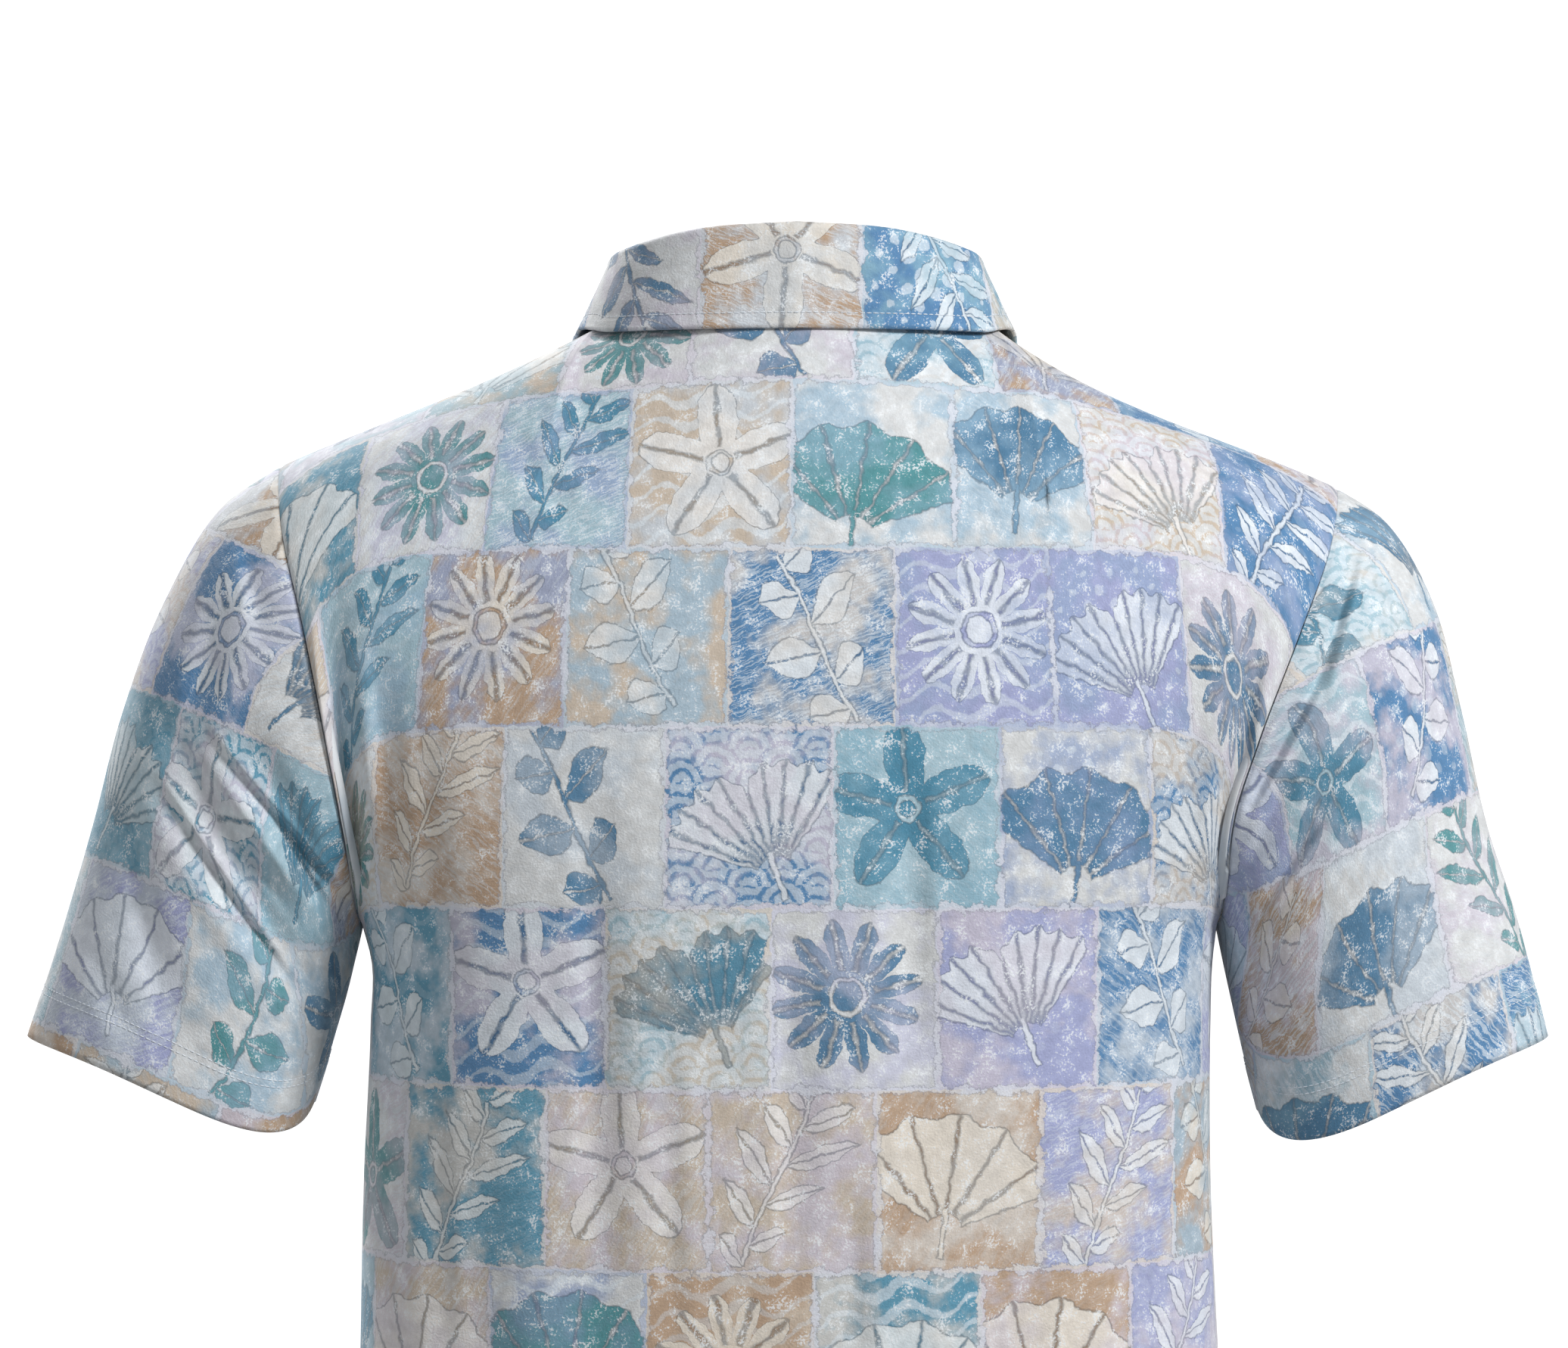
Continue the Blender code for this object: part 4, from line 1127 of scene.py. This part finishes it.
REPEATS = (
    (strokes, {"slant": 0.7}, 0.0),
    (waves, {"spacing": 11.0, "height": 3.4}, 0.12),
    (strokes, {"slant": -1.4}, 0.0),
    (scales, {"size": 15.0}, 0.0),
    (strokes, {"slant": 2.5}, 0.0),
    (dots, {"spacing": 15.0, "largest": 5.2}, 0.1),
)
UNEVEN = {  # noises on the cloth: how many per mm, their detail and their roughness
    "shake": (0.16, 3.0, 0.5),
    "wash": (0.028, 4.0, 0.6),
    "blotch": (0.11, 5.0, 0.7),
    "grain": (0.9, 2.0, 0.6),
}
SHAKE = (3.6, 3.6, 0.0)  # mm that the torn edges waver
print("tiles are", TILE_ACROSS, "by", TILE_UP, "mm;", len(FIGURES), "figures on", len(REPEATS), "repeats")


# %% The tiles, and what each one gets
def tiles(tree, place):
    """The place inside a tile, in mm from its middle, and the tile's six chances from 0 to 1."""
    across, up = add(tree, "SeparateXYZ", place).node.outputs[:2]
    row = add(tree, "FLOOR", ["DIVIDE", up, TILE_UP])
    shift = add(tree, "MULTIPLY_ADD", row, ROW_SHIFT * TILE_ACROSS, across)
    column = add(tree, "FLOOR", ["DIVIDE", shift, TILE_ACROSS])
    x = add(tree, "SUBTRACT", shift, ["MULTIPLY_ADD", column, TILE_ACROSS, TILE_ACROSS / 2])
    y = add(tree, "SUBTRACT", up, ["MULTIPLY_ADD", row, TILE_UP, TILE_UP / 2])
    chances = []
    for seed in TILE_SEEDS:
        tile = ["CombineXYZ", column, row, seed]
        chance = add(tree, "TexWhiteNoise", out="Color", at={"Vector": tile})
        chances += add(tree, "SeparateXYZ", chance).node.outputs[:3]
    return x, y, chances


def chosen_motif(tree, motifs, chance, x, y):
    """The number of the motif that a chance takes from a table, below zero inside it."""
    number = add(tree, "FLOOR", ["MULTIPLY", chance, float(len(motifs))])
    drawn = None
    for row, (shape, values, turn) in enumerate(motifs):
        across = ["MULTIPLY_ADD", y, -sin(turn), ["MULTIPLY", x, cos(turn)]]
        upwards = ["MULTIPLY_ADD", y, cos(turn), ["MULTIPLY", x, sin(turn)]]
        place = {"x": across, "y": upwards}
        motif = add(tree, "Group", at={**place, **values}, node_tree=MOTIF_GROUPS[shape])
        chosen = ["COMPARE", number, float(row), 0.1]
        drawn = add(tree, "Mix", at={0: chosen, 2: drawn, 3: motif}) if row else motif
    return drawn


def one_of(tree, chance, colours):
    """The colour that a chance takes from a list, through a ramp with a hard step for each."""
    picked = add(tree, "ValToRGB", chance)
    ramp = picked.node.color_ramp
    ramp.interpolation = "CONSTANT"
    for number, hex_code in enumerate(colours):
        stop = number / len(colours)
        element = ramp.elements[number] if number < 2 else ramp.elements.new(stop)
        element.position = stop
        element.color = colour(hex_code)
    return picked


def printed_over(tree, cloth, layers):
    """A colour with layers of dye over it: each one's share, its colour, and its blend if it isn't MIX."""
    for share, dye, *blend in layers:
        blend = blend[0] if blend else "MIX"
        cloth = add(tree, "Mix", out=2, data_type="RGBA", blend_type=blend, at={0: share, 6: cloth, 7: dye})
    return cloth


def new_material(name, constants):
    """A material, its node tree and its shader, with constants set on the shader's own sockets."""
    material = bpy.data.materials.new(name)
    material.use_nodes = True
    shader = material.node_tree.nodes["Principled BSDF"]
    for socket, value in constants.items():
        shader.inputs[socket].default_value = value
    return material, material.node_tree, shader


print("chances for each tile:", 3 * len(TILE_SEEDS))


# %% The ground and the figure of a tile
def printed_ground(tree, x, y, chances, wash, grain, second):
    """Two colours that run into each other, with pale dry-brush strokes or another repeat on them."""
    repeat = chosen_motif(tree, REPEATS, chances[2], x, y)
    repeat = add(tree, "ADD", repeat, ["MULTIPLY_ADD", grain, 1.6, -0.8])
    strength = ["MapRange", chances[4], 0.25, 0.75, 0.12, 0.55]
    layers = (
        (["MapRange", wash, 0.44, 0.60, 0.0, 0.8], second),
        (["MULTIPLY", ["MapRange", repeat, 0.3, -0.3, 0.0, 1.0], strength], colour("#cdd6dd")),
    )
    return printed_over(tree, one_of(tree, chances[0], GROUNDS), layers)


def printed_figure(tree, cloth, x, y, chances, wash, blotch, grain, second):
    """The figure, washed unevenly inside, its thin dark outline, and specks where the dye didn't take."""
    middle = []
    for along, chance in ((x, chances[4]), (y, chances[5])):
        moved = ["ADD", along, ["MULTIPLY_ADD", chance, FIGURE_SHIFT, -FIGURE_SHIFT / 2]]
        middle.append(add(tree, "MULTIPLY", moved, FIGURE_SIZE))
    figure = chosen_motif(tree, FIGURES, chances[1], *middle)
    figure = add(tree, "MULTIPLY_ADD", blotch, 1.2, ["ADD", figure, -0.6])
    washed = (["MapRange", wash, 0.40, 0.62, 0.05, 0.55], second)
    motif = printed_over(tree, one_of(tree, chances[0], MOTIFS), [washed])
    outline = ["ABSOLUTE", ["SUBTRACT", figure, 0.1]]
    speck = ["MULTIPLY_ADD", blotch, 0.9, ["MULTIPLY", grain, 0.75]]
    layers = (
        (["MapRange", figure, 0.2, -0.2, 0.0, 0.93], motif),
        (["MapRange", outline, 0.5, 0.15, 0.0, 0.6], colour("#8f979f"), "MULTIPLY"),
        (["MapRange", speck, 0.93, 1.0, 0.0, 0.75], colour("#d2d6d9")),
    )
    return printed_over(tree, cloth, layers)


print("colours of grounds, washes and figures:", len(GROUNDS), len(SECONDS), len(MOTIFS))


# %% The torn rims, and the whole print
def printed_rim(tree, cloth, x, y, wash, blotch, grain, second):
    """The torn edges of the tiles: a pale rim with a fine dark line."""
    border = ["SUBTRACT", TILE_ACROSS / 2, ["ABSOLUTE", x]]
    border = ["MINIMUM", border, ["SUBTRACT", TILE_UP / 2, ["ABSOLUTE", y]]]
    border = ["MULTIPLY_ADD", blotch, -9.0, ["ADD", border, 4.3]]
    border = add(tree, "MULTIPLY_ADD", grain, -1.6, border)
    fading = ["MapRange", wash, 0.42, 0.58, 0.75, 0.0]
    rim = printed_over(tree, colour("#d1cfcc"), ((wash, colour("#bfc6d8")), (fading, second)))
    line = ["ABSOLUTE", ["SUBTRACT", border, 0.5]]
    layers = (
        (["MapRange", border, 0.5, 0.1, 0.0, 0.8], rim),
        (["MapRange", line, 0.45, 0.1, 0.0, 0.55], colour("#7d7f8a")),
    )
    return printed_over(tree, cloth, layers)


def printed_jersey():
    """Cotton jersey, reactive-printed: matt, with the faint sheen of combed cotton."""
    combed = {"Roughness": 0.78, "Sheen Weight": 0.2, "Sheen Roughness": 0.45, "Specular IOR Level": 0.35}
    material, tree, shader = new_material("printed cotton jersey", combed)
    place = add(tree, "VectorMath SCALE", add(tree, "UVMap", uv_map="cut"), at={"Scale": 1 / MM})
    noises = []
    for scale, detail, rough in UNEVEN.values():
        size = {"Vector": place, "Scale": scale, "Detail": detail, "Roughness": rough}
        noises.append(add(tree, "TexNoise", at=size, noise_dimensions="2D"))
    shake, wash, blotch, grain = noises
    shaken = add(tree, "VectorMath MULTIPLY_ADD", shake.node.outputs[1], SHAKE, place)
    x, y, chances = tiles(tree, shaken)
    second = one_of(tree, chances[3], SECONDS)
    cloth = printed_ground(tree, x, y, chances, wash, grain, second)
    cloth = printed_figure(tree, cloth, x, y, chances, wash, blotch, grain, second)
    tone = ["MapRange", blotch, 0.25, 0.75, 0.82, 1.14]
    cloth = add(tree, "VectorMath SCALE", cloth, at={"Scale": tone})
    cloth = printed_rim(tree, cloth, x, y, wash, blotch, grain, second)
    tree.links.new(cloth, shader.inputs["Base Color"])
    # the crepe-like grain of the knit, drawn a little coarser than it is so that it shows
    bump = add(tree, "Bump", at={"Strength": 0.6, "Distance": 0.4 * MM, "Height": grain})
    tree.links.new(bump, shader.inputs["Normal"])
    return material


PRINT = printed_jersey()
print("nodes in the print:", len(PRINT.node_tree.nodes))


# %% The jersey's inside, the buttons and the thread
def plain_jersey():
    """The same jersey's inside: unprinted yarn, with a breath of the print's blue showing through."""
    material, tree, shader = new_material("unprinted inside of the jersey", {"Roughness": 0.85})
    place = add(tree, "VectorMath SCALE", add(tree, "UVMap", uv_map="cut"), at={"Scale": 1 / MM})
    cloud = add(tree, "TexNoise", at={"Vector": place, "Scale": 0.03, "Detail": 3.0}, noise_dimensions="2D")
    tint = (["MapRange", cloud, 0.35, 0.65, 0.0, 1.0], colour("#b9c3cd"))
    tree.links.new(printed_over(tree, colour("#d3d6d9"), [tint]), shader.inputs["Base Color"])
    ribs = add(tree, "TexNoise", at={"Vector": place, "Scale": 1.6, "Detail": 2.0}, noise_dimensions="2D")
    bump = add(tree, "Bump", at={"Strength": 0.25, "Distance": 0.3 * MM, "Height": ribs})
    tree.links.new(bump, shader.inputs["Normal"])
    return material


def swirled(name, constants, noise, first, second):
    """A material whose colour drifts between two, its tree, its shader and the noise in it."""
    material, tree, shader = new_material(name, constants)
    here = add(tree, "TexCoord", out="Object")
    swirl = add(tree, "TexNoise", at={"Vector": here, **noise})
    drift = printed_over(tree, colour(first), [(swirl, colour(second))])
    tree.links.new(drift, shader.inputs["Base Color"])
    return material, tree, shader, swirl


def button_plastic():
    """Cast polyester with a pearl filler: a soft gloss and slow pale swirls under it."""
    filler = {"Scale": 240.0, "Detail": 3.0, "Distortion": 1.2}
    material, tree, shader, swirl = swirled("pearl polyester", {"IOR": 1.56}, filler, "#b9c1c6", "#e8eaea")
    tree.links.new(add(tree, "MapRange", swirl, 0.3, 0.7, 0.18, 0.3), shader.inputs["Roughness"])
    return material


def sewing_thread():
    """Spun polyester sewing thread: pale, matt, with a slight twist that breaks up its light."""
    twist = {"Scale": 900.0, "Detail": 1.0}
    return swirled("spun polyester thread", {"Roughness": 0.6}, twist, "#b4bec8", "#e3e6ea")[0]


INSIDE = plain_jersey()
PEARL = button_plastic()
THREAD = sewing_thread()
print("other materials:", INSIDE.name, "/", PEARL.name, "/", THREAD.name)

# %% [markdown]
# ## Stitches
#
# A polo shirt's hems are sewn with a twin needle, which leaves two rows of short straight stitches.
# The collar and the placket have one row along their edges. Each row is the same thing again and
# again along a line, so Geometry Nodes make it: a line drawn on the cloth becomes a curve, the curve
# is divided at the stitch's pitch, and a small spindle of thread is laid on each point.


# %% A node tree that sews along lines
def stitch_tree():
    tree = bpy.data.node_groups.new("stitches_along_lines", "GeometryNodeTree")
    tree.interface.new_socket("Lines", in_out="INPUT", socket_type="NodeSocketGeometry")
    for name in ("Pitch", "Length", "Thickness"):
        tree.interface.new_socket(name, in_out="INPUT", socket_type="NodeSocketFloat")
    tree.interface.new_socket("Stitches", in_out="OUTPUT", socket_type="NodeSocketGeometry")
    start, end = tree.nodes.new("NodeGroupInput"), tree.nodes.new("NodeGroupOutput")
    lines, pitch, length, thickness = start.outputs[:4]
    curve = add(tree, "GeometryNodeMeshToCurve", lines)
    curve = add(tree, "GeometryNodeResampleCurve", at={"Curve": curve, "Length": pitch}, mode="LENGTH")
    tangent = add(tree, "GeometryNodeInputTangent")
    turn = add(tree, "FunctionNodeAlignRotationToVector", at={"Vector": tangent}, axis="X")
    spindle = add(tree, "GeometryNodeMeshUVSphere", at={"Segments": 6, "Rings": 4, "Radius": 0.5})
    size = add(tree, "CombineXYZ", length, thickness, thickness)
    laid = {"Points": curve, "Instance": spindle, "Rotation": turn, "Scale": size}
    sewn = add(tree, "GeometryNodeInstanceOnPoints", at=laid)
    sewn = add(tree, "GeometryNodeRealizeInstances", sewn)
    sewn = add(tree, "GeometryNodeSetMaterial", at={"Geometry": sewn, "Material": THREAD})
    tree.links.new(sewn, end.inputs[0])
    return tree


STITCHES = stitch_tree()
print("nodes in the stitch tree:", len(STITCHES.nodes))

# %% Sewing along a line on the cloth
STITCH = {"Pitch": 3.0 * MM, "Length": 2.5 * MM, "Thickness": 0.5 * MM}
DENSE_STITCH = {"Pitch": 0.45 * MM, "Length": 0.8 * MM, "Thickness": 0.45 * MM}
THREAD_LIFT = 0.10 * MM  # a stitch's middle lies this far outside the cloth


def line_across(grid, normal, height, at):
    """The line on a grid where height, which changes steadily down its columns, has a value."""
    line = []
    for column, heights in enumerate(height.T):
        order = np.argsort(heights)
        row = np.interp(at, heights[order], order)
        low = min(int(row), len(heights) - 2)
        pairs = (part[low : low + 2, column] for part in (grid, normal))
        place, out = (pair[0] + (pair[1] - pair[0]) * (row - low) for pair in pairs)
        line.append(place + out * THREAD_LIFT)
    return np.array(line)


def sew(name, lines, sizes):
    """Runs the stitch tree along lines of points, and returns the stitches as a plain mesh."""
    starts = np.cumsum([0] + [len(line) for line in lines])
    edges = [(i, i + 1) for a, b in zip(starts[:-1], starts[1:]) for i in range(a, b - 1)]
    mesh = bpy.data.meshes.new(name)
    mesh.from_pydata(np.concatenate(lines).tolist(), edges, [])
    piece = placed(name, mesh)
    sewing = piece.modifiers.new("sewing", "NODES")
    sewing.node_group = STITCHES
    for socket in STITCHES.interface.items_tree:
        if socket.in_out == "INPUT" and socket.name in sizes:
            sewing[socket.identifier] = sizes[socket.name]
    return finished(piece)


print("stitches in 100 mm of hem:", 2 * round(0.1 / STITCH["Pitch"]))

# %% Where the hems, the collar and the placket are sewn
BOX_HEIGHT = 16 * MM  # of the sewn box at the placket's foot
BOX_INSET = 2  # points left out at both ends of its rows


def hem_lines(grid, normal, uv, offset):
    return [line_across(grid, normal, uv[..., 1] - offset[1], row) for row in HEM_STITCHES]


def collar_seams():
    """Round the fall: along its edge, and up both of its ends."""
    grid, normal, from_edge, from_left = (part[STAND_ROWS + ROLL_ROWS :] for part in stitched_collar())
    from_right = from_left[:, -1:] - from_left
    kept = (from_left[-1] > EDGE_SEAM) & (from_right[-1] > EDGE_SEAM)
    turned = grid.swapaxes(0, 1), normal.swapaxes(0, 1)
    ends = [line_across(*turned, distance.T, EDGE_SEAM) for distance in (from_left, from_right)]
    rows = int(np.sum(from_edge[:, 0] > EDGE_SEAM))
    return [line_across(grid, normal, from_edge, EDGE_SEAM)[kept], *(line[:rows] for line in ends)]


def placket_seams():
    """Down both sides of the strip, across its foot, and once more to close the box at the foot."""
    grid, normal, flat = placket_points(PLACKET_OUT)
    turned = grid.swapaxes(0, 1), normal.swapaxes(0, 1)
    inset = PLACKET_HALF - SEAM_LINE
    sides = [line_across(*turned, flat[..., 0].T, x) for x in (-inset, inset)]
    sides = [line[line[:, 2] > PLACKET_END_Z + 0.98 * SEAM_LINE] for line in sides]
    heights = (PLACKET_END_Z + SEAM_LINE, PLACKET_END_Z + BOX_HEIGHT)
    ends = [line_across(grid, normal, flat[..., 1], height) for height in heights]
    return sides + [line[BOX_INSET:-BOX_INSET] for line in ends]


sewn = {}
for name in ("back", "front"):
    lines = hem_lines(*panel_points(name)[:3], CUT_OFFSET[name])
    sewn[name] = sew(name + "_hem_stitches", lines, STITCH)
for side, name in SIDES.items():
    lines = hem_lines(*sleeve_points(side), SLEEVE_OFFSET[side])
    sewn["sleeve_" + name] = sew(f"sleeve_{name}_stitches", lines, STITCH)
sewn["collar"] = sew("collar_stitches", collar_seams(), STITCH)
sewn["placket_over"] = sew("placket_stitches", placket_seams(), STITCH)
print("faces of all stitches:", sum(len(piece.data.polygons) for piece in sewn.values()))

# %% Buttonholes, and the thread in the buttons
BUTTONHOLE = 14.5 * MM
BUTTONHOLE_GAP = 0.5 * MM  # half the distance between its two rows
BAR_HEIGHT = 0.66  # the bars of thread lie at this share of a button's thickness

holes, bars = [], []
for z in BUTTON_Z:
    rise = np.linspace(z - BUTTONHOLE / 2, z + BUTTONHOLE / 2, 12)
    for aside in (-BUTTONHOLE_GAP, BUTTONHOLE_GAP):
        place, normal = front_point(aside, rise)
        holes.append(place + normal * (PLACKET_OUT + THREAD_LIFT))
    place, normal = front_point(0.0, z)
    up = np.array([0.0, normal[2], -normal[1]])
    top = place + normal * (PLACKET_OUT + BUTTON_SEAT + BUTTON_THICK * BAR_HEIGHT)
    for aside in (-HOLE_PLACE, HOLE_PLACE):
        middle = top + np.array([aside, 0.0, 0.0])
        bars.append(np.array([middle + up * HOLE_PLACE * t for t in (-1.0, 0.0, 1.0)]))
buttonholes = sew("buttonhole_stitches", holes, DENSE_STITCH)
button_threads = sew("button_threads", bars, DENSE_STITCH)
print("rows of buttonhole stitches:", len(holes), "bars of thread:", len(bars))

# %% [markdown]
# ## Joining it to the frame
#
# The cloth still has to be tied to the solids: the frame's body carries each piece, the solid that it
# stands for is hidden, and it gets its materials. Its rows of stitches, the buttonholes, the buttons
# and their threads go on the same body. A table lists each piece's flat size as it was cut, as real
# cloth can't stretch at will. Folded cloth, as in the collar and the placket, shows its print on
# both sides.

# %% Join everything to the frame
Cut = namedtuple("Cut", "width length area held rests_on")
CUTS = {  # each piece as it was cut, in metres and square metres; a sleeve's width goes all round it
    "back": Cut(0.580, 0.794, 0.400, "hung", []),
    "front": Cut(0.600, 0.799, 0.402, "hung", []),
    "sleeve_left": Cut(0.566, 0.294, 0.100, "hung", ["back", "front"]),
    "sleeve_right": Cut(0.560, 0.278, 0.097, "hung", ["back", "front"]),
    "collar": Cut(0.620, 0.095, 0.049, "folded", ["back", "front"]),
    "placket_over": Cut(0.034, 0.172, None, "laid", ["front"]),
    "placket_under": Cut(0.034, 0.172, None, "laid", ["front"]),
}
DOUBLED = ("collar", "placket_over", "placket_under")
BODY_NAME = next(iter(frame["bodies"]))
for node, cut in CUTS.items():
    piece = CLOTH[node]
    piece.data.materials.append(PRINT)
    piece.data.materials.append(PRINT if node in DOUBLED else INSIDE)
    finished(piece)
    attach(piece, BODY_NAME)
    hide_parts(node)
    stitches = [sewn[node]] if node in sewn else []
    for row in stitches:
        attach(row, BODY_NAME)
    flat = (cut.width, cut.length)
for piece, slot in ((buttonholes, "placket_over_cloth"), (button_threads, "button")):
    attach(piece, BODY_NAME)
for number, button in enumerate(buttons, 1):
    button.data.materials.append(PEARL)
    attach(button, BODY_NAME)
    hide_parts(f"button_{number}")
print("body:", BODY_NAME)

# %% [markdown]
# ## The camera
#
# The photograph looks straight at the back, at the height of the armholes, with hardly any
# perspective. So the camera stands well away with a long lens, which is worked out from the width
# that the picture shows.

# %% The camera
WIDTH_PX = 2072  # the photograph's width, and the size of one of its pixels on the shirt
PIXEL = 0.35 * MM
CAMERA_AWAY = 2.30  # metres behind the shirt's middle plane
camera_data = bpy.data.cameras.new("camera")
camera_data.sensor_width = 36
camera_data.lens = camera_data.sensor_width * CAMERA_AWAY / (WIDTH_PX * PIXEL)
camera = placed("camera", camera_data)
camera.location = (0.0035, CAMERA_AWAY, -0.159)
camera.rotation_euler = (pi / 2, 0, pi)
bpy.context.scene.camera = camera
print("lens, mm:", round(camera_data.lens, 1))

# %% [markdown]
# ## Light and backdrop
#
# A shirt cut out on white was shot in soft light from all round, with more of it from above and from
# one side, so that the folds show. A flat floor would show its horizon behind the shirt. So the pale
# floor is a wide dish, turned from one profile, whose rim sweeps up into a wall all round.

# %% The floor
FLOOR_Z = -1.05
DISH_FLAT = 4.8  # radius of the flat part, wider than any view of the shirt needs
DISH_ROUND = 1.2
WALL_TOP = 3.0
PAPER = {
    "Base Color": colour("#c8c8c8"),
    "Roughness": 0.9,
    "Emission Color": (1, 1, 1, 1),
    "Emission Strength": 0.86,  # light of its own, which keeps the paper white behind the shirt
}

bend = [(DISH_FLAT + DISH_ROUND * sin(t), DISH_ROUND * (1 - cos(t))) for t in np.linspace(0, pi / 2, 12)]
profile = [(0, 0), *bend, (DISH_FLAT + DISH_ROUND, WALL_TOP)]
profile = [(radius, FLOOR_Z + height) for radius, height in profile]
floor = spun("floor_dish", profile, 72, merge_threshold=0.1 * MM)
floor.data.materials.append(new_material("white background paper", PAPER)[0])
finished(floor)
floor.visible_diffuse = False  # or the paper would light the cloth from all round and hide its folds
print("floor, mm below the hem:", round(1000 * (HEM_Z - FLOOR_Z)))

# %% The lights
LIGHTS = {  # place, aim, side of the square in metres, and power in watts
    "key": ((-2.3, 2.1, 1.7), (0, 0.1, -0.2), 0.9, 142),
    "fill": ((2.4, 2.0, 0.5), (0, 0.1, -0.25), 2.0, 14),
    "front_key": ((1.7, -2.4, 1.5), (0, -0.1, -0.2), 0.9, 115),
}
AMBIENT = 0.30

for name, (place, aim, size, power) in LIGHTS.items():
    light = bpy.data.lights.new(name, "AREA")
    light.size = size
    light.energy = power
    lamp = placed(name, light)
    lamp.location = place
    lamp.rotation_euler = (Vector(aim) - Vector(place)).to_track_quat("-Z", "Y").to_euler()
world = bpy.data.worlds.new("studio")
world.use_nodes = True
world.node_tree.nodes["Background"].inputs[0].default_value = (1, 1, 1, 1)
world.node_tree.nodes["Background"].inputs[1].default_value = AMBIENT
bpy.context.scene.world = world
bpy.context.scene.view_settings.view_transform = "Standard"
print("lights:", list(LIGHTS))
